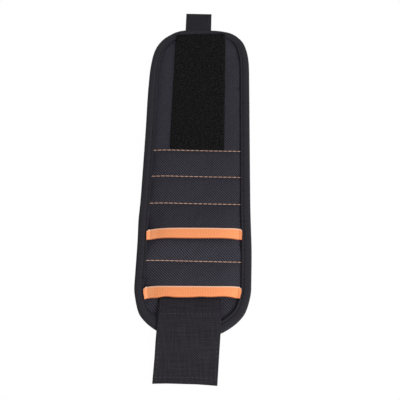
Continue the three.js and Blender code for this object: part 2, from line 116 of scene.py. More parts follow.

# %% [markdown]
# ## The photograph's camera, a pale table and soft light
#
# The camera comes first. It looks down steeply from the strap end, almost along the band's middle
# line.
#
# The table is a thin pale sheet over a white surround. It is mostly clear and shows only from above,
# so it takes a faint shadow as in a studio picture, and a band wrapped below the table's level can
# still be seen. Its shader is made of nodes, and a small class keeps that short: it makes a node,
# links or fills its inputs, and hands back its outputs.

# %% Camera
CAMERA_ELEVATION = math.radians(64)
CAMERA_AZIMUTH = math.radians(1.5)
CAMERA_DISTANCE = 534
CAMERA_LENS = 58.6
CAMERA_AIM = (3.75, -24.7, 2.0)

camera = bpy.data.objects.new("camera", bpy.data.cameras.new("camera"))
scene.collection.objects.link(camera)
scene.camera = camera
camera.data.lens = CAMERA_LENS
camera.data.sensor_width = 36.0
camera.data.clip_start = 0.01
aim_x, aim_y, aim_z = CAMERA_AIM
flat_distance = CAMERA_DISTANCE * math.cos(CAMERA_ELEVATION)
camera.location = (
    (aim_x + flat_distance * math.sin(CAMERA_AZIMUTH)) * MM,
    (aim_y - flat_distance * math.cos(CAMERA_AZIMUTH)) * MM,
    (aim_z + CAMERA_DISTANCE * math.sin(CAMERA_ELEVATION)) * MM)
camera.rotation_euler = (math.pi / 2 - CAMERA_ELEVATION, 0.0, CAMERA_AZIMUTH)
print("camera at", [round(value, 3) for value in camera.location])

# %% Table
TABLE_SHARE = 0.015   # how much of the pale sheet shows over the white surround
TABLE_LEVEL = -0.2
WHITE, PALE = (1.0, 1.0, 1.0, 1.0), (0.95, 0.95, 0.95, 1.0)


class Nodes:
    """A node tree, built up a node at a time."""

    def __init__(self, tree):
        self.tree = tree

    def add(self, kind, inputs=None, **settings):
        """A new node's outputs; its inputs are named or numbered, each a value or another's output."""
        node = self.tree.nodes.new(kind)
        for key, value in settings.items():
            setattr(node, key, value)
        for key, value in (inputs or {}).items():
            if isinstance(value, bpy.types.NodeSocket):
                self.tree.links.new(value, node.inputs[key])
            else:
                node.inputs[key].default_value = value
        return node.outputs

    def math(self, operation, *values):
        return self.add("ShaderNodeMath", dict(enumerate(values)), operation=operation)[0]

    def times(self, first, second):
        return self.math("MULTIPLY", first, second)


def sheet_finish():
    material = bpy.data.materials.new("pale table")
    material.use_nodes = True
    material.node_tree.nodes.clear()
    nodes = Nodes(material.node_tree)
    below = nodes.add("ShaderNodeNewGeometry")["Backfacing"]
    share = nodes.add("ShaderNodeMapRange", {"Value": below, "To Min": TABLE_SHARE, "To Max": 0.0})[0]
    clear = nodes.add("ShaderNodeBsdfTransparent")[0]
    matte = nodes.add("ShaderNodeBsdfDiffuse", {"Color": PALE})[0]
    both = nodes.add("ShaderNodeMixShader", {0: share, 1: clear, 2: matte})[0]
    nodes.add("ShaderNodeOutputMaterial", {0: both})
    return material


bpy.ops.mesh.primitive_plane_add(size=16.0, location=(0, 0, TABLE_LEVEL * MM))
table = bpy.context.object
table.name = "table"
table.data.materials.append(sheet_finish())

# %% Surround and lamps
AMBIENT = 0.42    # the surround's light on the band; the camera and mirrors see it at full white

world = bpy.data.worlds.new("studio")
scene.world = world
world.use_nodes = True
background = world.node_tree.nodes["Background"]
background.inputs["Color"].default_value = WHITE
nodes = Nodes(world.node_tree)
rays = nodes.add("ShaderNodeLightPath")
shown = rays["Is Camera Ray"]
for kind in ("Is Glossy Ray", "Is Transmission Ray"):
    shown = nodes.math("MAXIMUM", shown, rays[kind])
strength = nodes.add("ShaderNodeMapRange", {"Value": shown, "To Min": AMBIENT, "To Max": 1.0})[0]
nodes.tree.links.new(strength, background.inputs["Strength"])


def softbox(name, place, size, power):
    """A square lamp that faces the middle of the band."""
    lamp = bpy.data.objects.new(name, bpy.data.lights.new(name, "AREA"))
    scene.collection.objects.link(lamp)
    lamp.data.size = size
    lamp.data.energy = power
    lamp.location = place
    flat = math.hypot(place[0], place[1])
    lamp.rotation_euler = (math.atan2(flat, place[2]), 0.0, math.atan2(place[0], -place[1]))


softbox("key", (0.80, -0.60, 0.72), size=0.55, power=15.0)
softbox("fill", (-0.30, 0.10, 0.7), size=0.8, power=0.9)

# %% [markdown]
# ## The band's outline
#
# Seen from above the band is a long strip with two rounded ends: a squarish superellipse at the
# loop-tape end and a plain ellipse at the strap end. A formula for the edge and its outward
# direction is all that the tape, the cloth and the lining need.

# %% Outline
TOP_DEPTH, TOP_POWER = 55.0, 3.2
END_DEPTH, END_POWER = 41.5, 2.0
END_START = BAND_LENGTH - END_DEPTH
RIM_STEP, RIM_SEARCH = 2.0, 0.25    # between places on the edge, and how finely they are looked for
RIM_SUPPORT = 0.03                  # the room between a run's end and its support
LEAST_ACROSS = 0.2                  # keeps a margin finite where the edge runs straight across


def rim(u):
    """Half width of the band at u, and the outward direction there as (across, along)."""
    if TOP_DEPTH <= u <= END_START:
        return HALF_WIDTH, 1.0, 0.0
    at_top = u < TOP_DEPTH
    depth, power = (TOP_DEPTH, TOP_POWER) if at_top else (END_DEPTH, END_POWER)
    part = min(max((TOP_DEPTH - u if at_top else u - END_START) / depth, 0.0), 1.0)
    wide = (1 - part**power) ** (1 / power)
    across = wide ** (power - 1) / HALF_WIDTH
    along = part ** (power - 1) / depth
    size = math.hypot(across, along)
    return HALF_WIDTH * wide, across / size, (-along if at_top else along) / size


def half_width(u, inset):
    """Half width of the band at u inside a margin; zero beyond the ends of that margin."""
    if u < inset or u > BAND_LENGTH - inset:
        return 0.0
    x, across, _ = rim(u)
    return max(x - inset / max(across, LEAST_ACROSS), 0.0)


def rim_path(low, high):
    """Places (x, u, across, along) down the right-hand edge, evenly spaced along it."""
    stations = [low]
    for u in np.arange(low + RIM_SEARCH, high - 0.1, RIM_SEARCH):
        if math.hypot(rim(u)[0] - rim(stations[-1])[0], u - stations[-1]) >= RIM_STEP:
            stations.append(float(u))
    stations = [low, low + RIM_SUPPORT, *stations[1:], high - RIM_SUPPORT, high]
    return [(rim(u)[0], u, *rim(u)[1:]) for u in stations]


# %% Soft steps and humps
def smooth_step(value, low, high):
    """From 0 at low to 1 at high with a soft start and end, for a number or for an array."""
    part = np.clip((value - low) / (high - low), 0.0, 1.0)
    return part * part * (3 - 2 * part)


def plateau(value, start, full, fade, end):
    """1 from full to fade, and 0 before the start and after the end."""
    return smooth_step(value, start, full) * (1 - smooth_step(value, fade, end))


def bell(distance, width):
    """A hump of height 1 that has all but gone two widths away."""
    return math.exp(-((distance / width) ** 2))


def flat_topped(part, power):
    """A hump over -1 to 1 that is flatter on top the higher its power."""
    return 1 - min(abs(part), 1.0) ** power


def spread(low, high, step):
    """Evenly spaced values from low to high, about a step apart."""
    return [float(value) for value in np.linspace(low, high, max(round(abs(high - low) / step), 1) + 1)]


print("half width at the middle of each part:", [round(rim(u)[0], 1) for u in MIDDLES])

# %% [markdown]
# ## Closed pieces from rings
#
# A ply of cloth, a tape or a strap is long and thin, with the same kind of section all along. It can
# be drawn as a list of rings, joined ring to ring and closed at both ends. The result is one closed
# shell, with no loose edges, and its texture places are in decimetres across and along the piece, so
# that a weave keeps to its cloth when the band bends.


# %% From band places to the frame
TOP_SHIFT, TOP_SLANT, TOP_CURVE = 0.5, -0.0575, 0.0007      # how the loop-tape end strays along the band
END_SHIFT, END_SLANT, END_SHOULDERS = 0.2, -0.02, 1e-6      # and the strap end
EDGE_STRAYS = [    # how the side edges stray across it: (side, u, length, size)
    (-1, 33, 12, -0.40), (-1, 75, 25, 0.45), (-1, 197, 12, 0.50), (1, 14, 6, 0.90), (1, 222, 26, 0.75)]


def to_frame(places):
    """Band places in millimetres as frame points in metres."""
    places = np.asarray(places, float).reshape(-1, 3)
    return np.column_stack([places[:, 0], TOP_Y - places[:, 1], places[:, 2]]) * MM


def askew(places):
    """The same places as sewn by hand: the ends out of square and the edges not quite straight."""
    places = np.array(places, float).reshape(-1, 3)
    x, u = places[:, 0].copy(), places[:, 1].copy()
    at_edge = plateau(u, -12.0, 0.0, 10.0, 60.0)
    at_top = plateau(u, -1.0, 5.0, 15.0, 75.0)
    at_end = plateau(u, 260.0, 273.0, BAND_LENGTH + 4, BAND_LENGTH + 40)
    places[:, 1] += TOP_SHIFT * at_edge + at_top * (TOP_CURVE * x**2 + TOP_SLANT * x)
    places[:, 1] += at_end * (END_SHIFT + END_SHOULDERS * x**4 + END_SLANT * x)
    for side, at, length, size in EDGE_STRAYS:
        near = np.exp(-(((u - at) / length) ** 2)) * (np.maximum(side * x, 0) / HALF_WIDTH) ** 6
        places[:, 0] += side * size * near
    return places


# %% Mesh helpers
SUPPORT = 0.02          # how far the support rings stand from the ends, as a share of a step
TEXTURE_UNIT = 100.0    # a decimetre, in millimetres


def new_object(name, mesh, material=None):
    if material is not None:
        mesh.materials.append(material)
    obj = bpy.data.objects.new(name, mesh)
    scene.collection.objects.link(obj)
    return obj


def tell(obj):
    print(obj.name, "has", len(obj.data.polygons), "faces")


# %% Shells and lines
def with_support(rings):
    """The rings with one more close to each end, which keeps the shading flat up to the edge."""
    first = rings[:1] + SUPPORT * (rings[1:2] - rings[:1])
    last = rings[-1:] + SUPPORT * (rings[-2:-1] - rings[-1:])
    return np.concatenate([rings[:1], first, rings[1:-1], last, rings[-1:]])


def ring_piece(name, rings, material, texture=None):
    """A closed shell through rings of places; texture gives each place's (across, along) in mm."""
    rings = np.asarray(rings, float)
    places = with_support(rings[:, :, :2] if texture is None else np.asarray(texture, float))
    rings = with_support(rings)
    count, size = rings.shape[:2]
    faces = []
    for ring in range(count - 1):
        for point in range(size):
            here = ring * size + point
            after = ring * size + (point + 1) % size
            faces.append((here, after, after + size, here + size))
    faces.append(tuple(range(size)))
    faces.append(tuple(range((count - 1) * size, count * size)))
    mesh = bpy.data.meshes.new(name)
    mesh.from_pydata(to_frame(askew(rings)).tolist(), [], faces)
    corners = np.zeros(len(mesh.loops), int)
    mesh.loops.foreach_get("vertex_index", corners)
    layer = mesh.uv_layers.new(name="UVMap")
    on_texture = places.reshape(-1, 2)[corners] / TEXTURE_UNIT
    layer.data.foreach_set("uv", on_texture.astype(np.float32).ravel())
    mesh.polygons.foreach_set("use_smooth", [len(face) == 4 for face in faces])
    shell = bmesh.new()
    shell.from_mesh(mesh)
    bmesh.ops.recalc_face_normals(shell, faces=shell.faces)
    shell.to_mesh(mesh)
    shell.free()
    return new_object(name, mesh, material)


def line_piece(name, runs):
    """Lines of edges through runs of places: a path for Geometry Nodes to follow."""
    mesh = bpy.data.meshes.new(name)
    places = [place for run in runs for place in run]
    lines = []
    for run in runs:
        start = lines[-1][1] + 1 if lines else 0
        lines += [(start + k, start + k + 1) for k in range(len(run) - 1)]
    mesh.from_pydata(to_frame(askew(places)).tolist(), lines, [])
    return new_object(name, mesh)


# %% [markdown]
# ## Bending at a line
#
# Cloth does not fold at a knife edge. In the soft loop-tape field it turns over a long stretch. Near
# a seam with magnets on both sides it turns within a few millimetres, and in fewer still at the middle
# row, because its magnets reach close to its ends and the lining has to stay outside them. These
# reaches are set down below, but nothing in this script uses them.

# %% Bending
CREASE_REACH = 15.0
SEAM_REACH = 6.5
SHORT_REACH = 4.0     # at both ends of the middle row
REACH = {line: CREASE_REACH if line.startswith("crease") else SEAM_REACH for line in LINES}
REACH |= {"mouth_upper": SHORT_REACH, "seam_4": SHORT_REACH}


def turn_between(obj):
    """Bake a piece's place into its mesh."""
    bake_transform(obj)


def dress(obj, line, slot, *nodes):
    """Bake a section's place, hide the solids that it stands for and print its size. The line and the
    slot are not used.
    """
    turn_between(obj)
    if nodes:
        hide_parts(*nodes)
    tell(obj)


def solids(layer, line):
    """The CAD model's solids that a layer's section for this line stands for."""
    last = [f"{layer}_strap_end"] if line == LINES[-1] else []
    return [f"{layer}_{BODIES[LINES.index(line)]}", *last]


def section_span(line, first=0.0, last=BAND_LENGTH):
    """The stations between which a layer's section for this line runs."""
    number = LINES.index(line)
    low = first if number == 0 else MIDDLES[number]
    high = last if number == len(LINES) - 1 else MIDDLES[number + 1]
    return low, high


print("sections:", {line: [round(at) for at in section_span(line)] for line in LINES})

# %% [markdown]
# ## Building finishes from nodes
#
# Every finish is a Principled shader whose colour and bump come from a few maths nodes. The class
# below knows the ones that cloth needs: where a point is on its piece, noise, yarns and weaves.
# Numbers that are the same all over are set on the shader itself.


# %% Finish helper
class Finish(Nodes):
    """A Principled material."""

    def __init__(self, name, roughness, specular=0.15, metallic=0.0):
        self.material = bpy.data.materials.new(name)
        self.material.use_nodes = True
        super().__init__(self.material.node_tree)
        self.shader = self.tree.nodes["Principled BSDF"]
        self.shader.inputs["Roughness"].default_value = roughness
        self.shader.inputs["Specular IOR Level"].default_value = specular
        self.shader.inputs["Metallic"].default_value = metallic

    def mix(self, share, first, second):
        """A colour between two others, each three numbers or a node's output."""
        ends = [(*color, 1.0) if isinstance(color, tuple) else color for color in (first, second)]
        return self.add("ShaderNodeMix", {0: share, 6: ends[0], 7: ends[1]}, data_type="RGBA")[2]

    def texture_place(self):
        return self.add("ShaderNodeUVMap")["UV"]

    def place(self):
        """Where a point is on its piece, (across, along) in millimetres."""
        split = self.add("ShaderNodeSeparateXYZ", {0: self.texture_place()})
        return [self.times(split[axis], TEXTURE_UNIT) for axis in (0, 1)]

    def noise(self, scale, detail=2.0, on_piece=True):
        """Soft noise over the texture places, or over the object's own space."""
        where = self.texture_place() if on_piece else self.add("ShaderNodeTexCoord")["Object"]
        return self.add("ShaderNodeTexNoise", {"Vector": where, "Scale": scale, "Detail": detail})["Fac"]

    def streaks(self, across_scale, along_scale):
        """Noise drawn out into streaks, in cycles to the millimetre."""
        across, along = self.place()
        inputs = {0: self.times(across, across_scale), 1: self.times(along, along_scale)}
        where = self.add("ShaderNodeCombineXYZ", inputs)[0]
        return self.add("ShaderNodeTexNoise", {"Vector": where, "Scale": 1.0})["Fac"]

    def fleck(self, scale, least, more):
        """A multiplier that varies from yarn to yarn."""
        return self.math("ADD", least, self.times(self.noise(scale), more))

    def yarn(self, place, width):
        """Height 0 to 1 across round yarns that lie side by side."""
        offset = self.math("SUBTRACT", self.math("FRACT", self.math("DIVIDE", place, width)), 0.5)
        return self.math("SUBTRACT", 1.0, self.times(self.math("POWER", offset, 2.0), 4.0))

    def weave(self, across_yarn, along_yarn, repeat):
        """A weave's height, and 1 where the warp is on top: repeat 2 is plain, 3 a twill."""
        across, along = self.place()
        column = self.math("FLOOR", self.math("DIVIDE", across, across_yarn))
        row = self.math("FLOOR", self.math("DIVIDE", along, along_yarn))
        turn = self.math("FLOORED_MODULO", self.math("SUBTRACT", column, row), float(repeat))
        warp_up = self.math("LESS_THAN", turn, repeat - 1.0)
        warp = self.times(self.yarn(across, across_yarn), warp_up)
        weft = self.times(self.yarn(along, along_yarn), self.math("SUBTRACT", 1.0, warp_up))
        return self.math("ADD", warp, weft), warp_up

    def ramp(self, value, start, end, most):
        """From 0 at the start to a most at the end, with soft corners."""
        inputs = {"Value": value, "From Min": start, "From Max": end, "To Max": most}
        return self.add("ShaderNodeMapRange", inputs, interpolation_type="SMOOTHSTEP")[0]

    def bump(self, height, depth):
        normal = self.add("ShaderNodeBump", {"Height": height, "Distance": depth * MM})[0]
        self.tree.links.new(normal, self.shader.inputs["Normal"])

    def paint(self, share, first, second):
        """Make a mix of two colours the finished colour, and hand back the material."""
        self.tree.links.new(self.mix(share, first, second), self.shader.inputs["Base Color"])
        return self.material


# %% [markdown]
# ## Recipes in Geometry Nodes
#
# Stitches, pile, hooks and ribs repeat, and a folded tape follows a path. Geometry Nodes are made for
# both. Each tree below has named inputs for its sizes. When it has run, its result becomes the
# object's own plain mesh, because pieces that bend with the band have to be plain meshes.


# %% Recipe helper
class Recipe(Nodes):
    """A Geometry Nodes tree with named inputs, run on an object and then made plain."""

    def __init__(self, name, **inputs):
        super().__init__(bpy.data.node_groups.new(name, "GeometryNodeTree"))
        face = self.tree.interface
        face.new_socket("Geometry", in_out="INPUT", socket_type="NodeSocketGeometry")
        face.new_socket("Geometry", in_out="OUTPUT", socket_type="NodeSocketGeometry")
        self.identifiers = {}
        for label, kind in inputs.items():
            socket = face.new_socket(label, in_out="INPUT", socket_type="NodeSocket" + kind)
            self.identifiers[label] = socket.identifier
        self.inputs = self.tree.nodes.new("NodeGroupInput").outputs

    def keep(self, geometry, name, value, **settings):
        """Store a value under a name, for a later node or for the shader."""
        inputs = {0: geometry, "Name": name, "Value": value}
        return self.add("GeometryNodeStoreNamedAttribute", inputs, **settings)[0]

    def kept(self, name):
        return self.add("GeometryNodeInputNamedAttribute", {"Name": name})[0]

    def push(self, geometry, amount):
        """Move every point along its normal."""
        normal = self.add("GeometryNodeInputNormal")[0]
        offset = self.add("ShaderNodeVectorMath", {0: normal, "Scale": amount}, operation="SCALE")[0]
        return self.add("GeometryNodeSetPosition", {0: geometry, "Offset": offset})[0]

    def end(self, geometry, material, chosen=True):
        """Make instances real, shade all but the flat ends smooth, and paint the chosen faces."""
        real = self.add("GeometryNodeRealizeInstances", {0: geometry})[0]
        corners = self.add("GeometryNodeCornersOfFace")["Total"]
        rounded = self.math("LESS_THAN", corners, 5.0)
        smooth = self.add("GeometryNodeSetShadeSmooth", {0: real, "Selection": rounded})[0]
        inputs = {0: smooth, "Selection": chosen, "Material": material}
        painted = self.add("GeometryNodeSetMaterial", inputs)[0]
        self.add("NodeGroupOutput", {0: painted})

    def run(self, obj, **values):
        modifier = obj.modifiers.new(self.tree.name, "NODES")
        modifier.node_group = self.tree
        for label, value in values.items():
            modifier[self.identifiers[label]] = value
        graph = bpy.context.evaluated_depsgraph_get()
        plain = bpy.data.meshes.new_from_object(obj.evaluated_get(graph))
        obj.modifiers.clear()
        obj.data = plain
        return obj


# %% [markdown]
# ## Thread
#
# A sewn line is a row of short stitches that lie end to end with a small dip between them. Each one
# is a slim rounded grain, placed along the line by a tree that measures the line's length.


# %% Stitches
def thread_finish(name, color):
    finish = Finish(name, roughness=0.6, specular=0.2)
    worn = tuple(0.5 * part for part in color)
    return finish.paint(finish.noise(900.0, on_piece=False), worn, color)


def stitch_recipe(name, material):
    recipe = Recipe(name, Pitch="Float", Length="Float", Thickness="Float")
    line = recipe.add("GeometryNodeMeshToCurve", {0: recipe.inputs["Geometry"]})[0]
    pitch = {0: line, "Length": recipe.inputs["Pitch"]}
    holes = recipe.add("GeometryNodeCurveToPoints", pitch, mode="LENGTH")
    grain = recipe.add("GeometryNodeMeshUVSphere", {"Segments": 6, "Rings": 5, "Radius": 0.5})["Mesh"]
    thick, long = recipe.inputs["Thickness"], recipe.inputs["Length"]
    size = recipe.add("ShaderNodeCombineXYZ", {0: thick, 1: thick, 2: long})[0]
    laid = recipe.add("GeometryNodeInstanceOnPoints", {
        "Points": holes["Points"], "Instance": grain, "Rotation": holes["Rotation"], "Scale": size})[0]
    recipe.end(laid, material)
    return recipe


BLACK_THREAD = stitch_recipe("black stitches", thread_finish("black thread", (0.020, 0.019, 0.022)))
GREY_THREAD = stitch_recipe("grey stitches", thread_finish("grey thread", (0.052, 0.050, 0.058)))
ORANGE_THREAD = stitch_recipe("orange stitches", thread_finish("orange thread", (0.82, 0.50, 0.36)))
STITCH_PITCH = 3.8


def sew(name, runs, thread, pitch, length, thickness):
    seam = line_piece(name, runs)
    return thread.run(seam, Pitch=pitch * MM, Length=length * MM, Thickness=thickness * MM)


# %% [markdown]
# ## Edge binding
#
# A ribbed tape is folded over the raw edges all the way round and sewn through near its inner edge.
# Its section is the same everywhere, so the tape is that section swept along the rim. The ribs are
# real: the tree counts them along each run and pushes the tape in between them. It also records how
# far along the tape and how far round its section each point is, for the fine yarns of the finish.

# %% Binding finish
TAPE_RIB = 1.1


def binding_finish():
    finish = Finish("binding tape", roughness=0.8, specular=0.12)
    around, along = finish.place()
    ribs = finish.times(finish.yarn(along, TAPE_RIB), 0.75)
    picks = finish.times(finish.yarn(around, 0.7 * TAPE_RIB), 0.25)
    height = finish.math("ADD", ribs, picks)
    finish.bump(height, 0.18)
    shine = finish.times(height, finish.fleck(90.0, 0.5, 0.9))
    return finish.paint(shine, (0.004, 0.0037, 0.005), (0.030, 0.0283, 0.035))


# %% Binding section
TAPE = 0.7
RIB_DEPTH = 0.10
STEPS_PER_RIB = 4
SECTION_UP = -1    # the sweep lays a section's y axis downwards


def binding_section():
    """The folded tape in section as (inset from the rim, height), all the way round."""
    middle = RIM_TOP / 2
    turn = np.linspace(-math.pi / 2, math.pi / 2, 11)
    outside = [(BINDING_LIP, 0.0), (5.0, 0.0)]
    outside += [(middle - middle * math.cos(a), middle + middle * math.sin(a)) for a in turn]
    sewn = [(3.6, 0.04), (5.2, 0.10), (5.7, -0.10), (6.0, -0.42), (6.5, -0.42), (6.8, -0.10), (7.3, 0.05)]
    outside += [(inset, RIM_TOP + above) for inset, above in sewn]
    edge = [(BINDING_LIP, RIM_TOP - 0.2), (BINDING_LIP, RIM_TOP - 0.55)]
    inner = middle - TAPE
    inside = [(6.0, RIM_TOP - TAPE)]
    inside += [(middle - inner * math.cos(a), middle + inner * math.sin(a)) for a in turn[::-2]]
    inside += [(6.0, TAPE), (BINDING_LIP, TAPE - 0.1)]
    return outside + edge + inside


# %% Sweep recipe
def sweep_recipe(material):
    recipe = Recipe("folded tape", Section="Object", Rib="Float", Depth="Float")
    rib = recipe.inputs["Rib"]
    step = recipe.math("DIVIDE", rib, STEPS_PER_RIB)
    line = recipe.add("GeometryNodeMeshToCurve", {0: recipe.inputs["Geometry"]})[0]
    even = recipe.add("GeometryNodeResampleCurve", {0: line, "Length": step}, mode="LENGTH")[0]
    path = recipe.add("GeometryNodeSetCurveNormal", {0: even}, mode="Z_UP")[0]
    held = recipe.add("GeometryNodeObjectInfo", {"Object": recipe.inputs["Section"]})["Geometry"]
    section = recipe.add("GeometryNodeMeshToCurve", {0: held})[0]
    place = recipe.add("GeometryNodeSplineParameter")
    length = recipe.add("GeometryNodeSplineLength")["Length"]
    whole = recipe.math("ROUND", recipe.math("DIVIDE", length, rib))
    path = recipe.keep(path, "ribs", recipe.times(whole, place["Factor"]), domain="POINT")
    section = recipe.keep(section, "around", place["Length"], domain="POINT")
    tape = recipe.add("GeometryNodeCurveToMesh", {0: path, 1: section, "Fill Caps": True})[0]
    wave = recipe.math("COSINE", recipe.times(recipe.kept("ribs"), 2 * math.pi))
    dip = recipe.times(recipe.math("MULTIPLY_ADD", wave, -0.5, -0.5), recipe.inputs["Depth"])
    along = recipe.times(recipe.kept("ribs"), rib)
    decimetres = [recipe.times(metres, 10.0) for metres in (recipe.kept("around"), along)]
    texture = recipe.add("ShaderNodeCombineXYZ", dict(enumerate(decimetres)))[0]
    mapped = recipe.keep(recipe.push(tape, dip), "UVMap", texture, data_type="FLOAT2", domain="CORNER")
    recipe.end(mapped, material)
    return recipe


# %% Runs of tape
def mirrored(path):
    """The same run up the left-hand edge, so that a path always goes round the band clockwise."""
    return [(-x, u, -across, along) for x, u, across, along in reversed(path)]


def binding_paths(line):
    """The tape's runs in one section: one round an end of the band, or one along each side."""
    right = rim_path(*section_span(line))
    if line == LINES[0]:
        return [mirrored(right) + right[1:]]
    if line == LINES[-1]:
        return [right + mirrored(right)[1:]]
    return [right, mirrored(right)]


def section_object():
    """The section as a closed line for the sweep, inset along x and height along y."""
    places = binding_section()
    mesh = bpy.data.meshes.new("binding_section")
    links = [(k, (k + 1) % len(places)) for k in range(len(places))]
    mesh.from_pydata([(inset * MM, SECTION_UP * height * MM, 0.0) for inset, height in places], links, [])
    return new_object("binding_section", mesh)


FOLDED_TAPE = sweep_recipe(binding_finish())

# %% Bind the edge
STITCH_INSET = BINDING_LIP - 1.7
STITCH_SINK = -0.35         # the stitches lie in the tape's groove


def binding_nodes(line):
    """The CAD model's lengths of tape that one section stands for."""
    if line == LINES[0]:
        return ["binding_top_end"]
    part = BODIES[LINES.index(line)]
    sides = [f"binding_{part}_left", f"binding_{part}_right"]
    return sides + (["binding_strap_end"] if line == LINES[-1] else [])


tape_section = section_object()
for line in LINES:
    paths = binding_paths(line)
    tape = line_piece(f"binding_{line}", [[(x, u, 0.0) for x, u, _, _ in path] for path in paths])
    FOLDED_TAPE.run(tape, Section=tape_section, Rib=TAPE_RIB * MM, Depth=RIB_DEPTH * MM)
    dress(tape, line, "binding_tape", *binding_nodes(line))
    seams = [[(x - STITCH_INSET * across, u - STITCH_INSET * along, RIM_TOP + STITCH_SINK)
              for x, u, across, along in path] for path in paths]
    thread = sew(f"binding_stitches_{line}", seams, BLACK_THREAD, pitch=3.4, length=2.6, thickness=0.42)
    dress(thread, line, "binding_tape")
bpy.data.objects.remove(tape_section)

# %% [markdown]
# ## Outer cloth
#
# The cloth is a coarse black nylon with a steep diagonal weave, in three sheets that overlap like
# shingles: from the loop-tape end to the upper pocket's mouth, from under that mouth to the lower
# one, and from under the lower mouth to the strap end.
#
# Its shape comes in three steps. A formula gives the height that the sewing pattern asks for: crowned
# rows over the magnets, and pocket fronts that arch up to their mouths. Then Blender's cloth
# simulation lets each sheet, cut a little too large and held at its stitches, find its own puffs and
# puckers. Last, the marks of old bends are pressed in. The lowest sheet lies under the strap and the
# pocket, where little of it shows, and keeps to its formula.

# %% Cloth finish
CLOTH_WARP, CLOTH_WEFT = 0.70, 0.76     # the diagonal repeats every three yarns


def cloth_finish(name, light):
    finish = Finish(name, roughness=0.6, specular=0.06)
    height, warp_up = finish.weave(CLOTH_WARP, CLOTH_WEFT, 3)
    finish.bump(height, 0.22)
    # The crests of the yarns on top are painted lighter, a painted glint, with painted shade between the
    # yarns.
    crest = finish.math("POWER", finish.times(height, warp_up), 1.6)
    shine = finish.times(crest, finish.fleck(120.0, 0.0, 2.0))
    return finish.paint(shine, (0.002, 0.0017, 0.0028), (light, 0.957 * light, 1.24 * light))


CLOTH_FINISH = cloth_finish("ballistic cloth", 0.076)
POCKET_PAINTED_LIGHTER_FINISH = cloth_finish("ballistic cloth of the pockets", 0.090)    # a copy of the cloth painted lighter: painted light on the pockets, which face the lamp more

# %% Sewing pattern
MOUTH_RISE = highest("trim_upper")[2] - HIGH_TOP - SEAM - 0.5
PLAIN_CROWN, POCKET_CROWN, FIELD_CROWN, UNDER_CROWN = 1.3, 1.7, 0.35, 0.5
CROWN_POWER, LEFT_POWER, RIGHT_POWER = 2.6, 5, 14     # a row is flatter towards the right
PUCKER, PUCKER_WAVE, PUCKER_WIDTH = 0.70, 0.12, 2.0
TUCK, TUCK_WIDTH = 0.3, 1.8                           # where the cloth goes under the binding
DENT_WIDTH, DENT_SLANT = 1.6, 0.12
WRINKLE_AT, WRINKLE = 50.0, 0.35
TUCKED_IN, LIFT_LENGTH, ROW_HIDDEN = 8.0, 12.0, 20.0  # how the middle row comes out from the upper pocket


def share_across(x, u):
    """How far a place is from the middle line, as a share of the way to the binding."""
    return x / max(half_width(u, BINDING_LIP), 1.0)


def pocket_rise(x, u, root, mouth):
    """How far a pocket front stands up: most at the middle of its mouth."""
    along = min(max((u - root) / (mouth - root), 0.0), 1.0)
    return MOUTH_RISE * math.sin(along * math.pi / 2) * flat_topped(share_across(x, min(u, mouth)), 4)


def row_crown(x, u, low, high, crown):
    """The hump of a row between its two seams."""
    part = (2 * u - low - high) / (high - low)
    side = flat_topped(share_across(x, u), LEFT_POWER if x < 0 else RIGHT_POWER)
    return crown * flat_topped(part, CROWN_POWER) * side


def pucker(x, u, seam):
    """How far a row of stitches pulls the cloth down."""
    depth = PUCKER + PUCKER_WAVE * math.cos(2 * math.pi * x / STITCH_PITCH)
    return bell(u - seam, PUCKER_WIDTH) * depth


def side_valley(x, u):
    """How far the cloth dips where it goes under the binding: a fall, wider on the left, and a tuck."""
    inside = half_width(u, BINDING_LIP) - abs(x)
    in_rows = smooth_step(u, ROW_1 - 12, ROW_1)
    deep, wide = (0.8 + 0.7 * in_rows, 4 + 4 * in_rows) if x < 0 else (0.3, 4.0)
    return deep * bell(inside, wide) + TUCK * bell(inside, TUCK_WIDTH)


def bend_marks(x, u):
    """Dents where the loop-tape field has been bent, and one wrinkle on the right."""
    dents = [(LINE_AT["crease_1"], 0.15), (LINE_AT["crease_2"], 0.35), (LINE_AT["crease_3"], 0.15)]
    dents.append((WRINKLE_AT, WRINKLE if x > 0 else 0.0))
    return sum(deep * bell(u - at + DENT_SLANT * (abs(x) - 30), DENT_WIDTH) for at, deep in dents)


# %% The three sheets' patterns
def away_from_binding(x, u):
    return flat_topped(share_across(x, u), 6)


def upper_sheet(x, u):
    if u >= ROW_3:
        height = pocket_rise(x, u, ROW_3, UPPER_MOUTH)
    elif u >= ROW_1:
        height = row_crown(x, u, *((ROW_1, ROW_2) if u < ROW_2 else (ROW_2, ROW_3)), PLAIN_CROWN)
    else:
        height = row_crown(x, u, -ROW_1 / 2, ROW_1, FIELD_CROWN)
    pulled = sum(pucker(x, u, seam) for seam in (ROW_1, ROW_2, ROW_3)) * away_from_binding(x, u)
    return HIGH_TOP + height - pulled - side_valley(x, u)


def middle_sheet(x, u):
    if u >= ROW_4:
        height = HIGH_TOP + pocket_rise(x, u, ROW_4, LOWER_MOUTH)
    else:
        start = UPPER_MOUTH + 2 - TUCKED_IN * flat_topped(share_across(x, u), 4)
        lift = smooth_step(u, start, start + LIFT_LENGTH) * (HIGH_TOP - LOW_TOP)
        height = LOW_TOP + lift + row_crown(x, u, UPPER_MOUTH - ROW_HIDDEN, ROW_4, POCKET_CROWN)
    return height - pucker(x, u, ROW_4) * away_from_binding(x, u) - 0.7 * side_valley(x, u)


def lower_sheet(x, u):
    return LOW_TOP + (row_crown(x, u, ROW_4, LOWER_MOUTH, UNDER_CROWN) if u < LOWER_MOUTH else 0.0)


# %% Cut the sheets
CLOTH_UNDER_LIP = 5.0       # the cloth's edge lies this far inside the rim
CLOTH_STEP = 1.4
LEAST_HALF = 6.0            # half the cloth's width at its very ends
COLUMNS = np.linspace(-1, 1, 61)
LOOP_HALF = highest("loop_tape_2")[0]
TRIM_HEIGHT = highest("trim_upper")[1] - lowest("trim_upper")[1]


def cloth_half(u):
    return max(half_width(u, CLOTH_UNDER_LIP), LEAST_HALF)


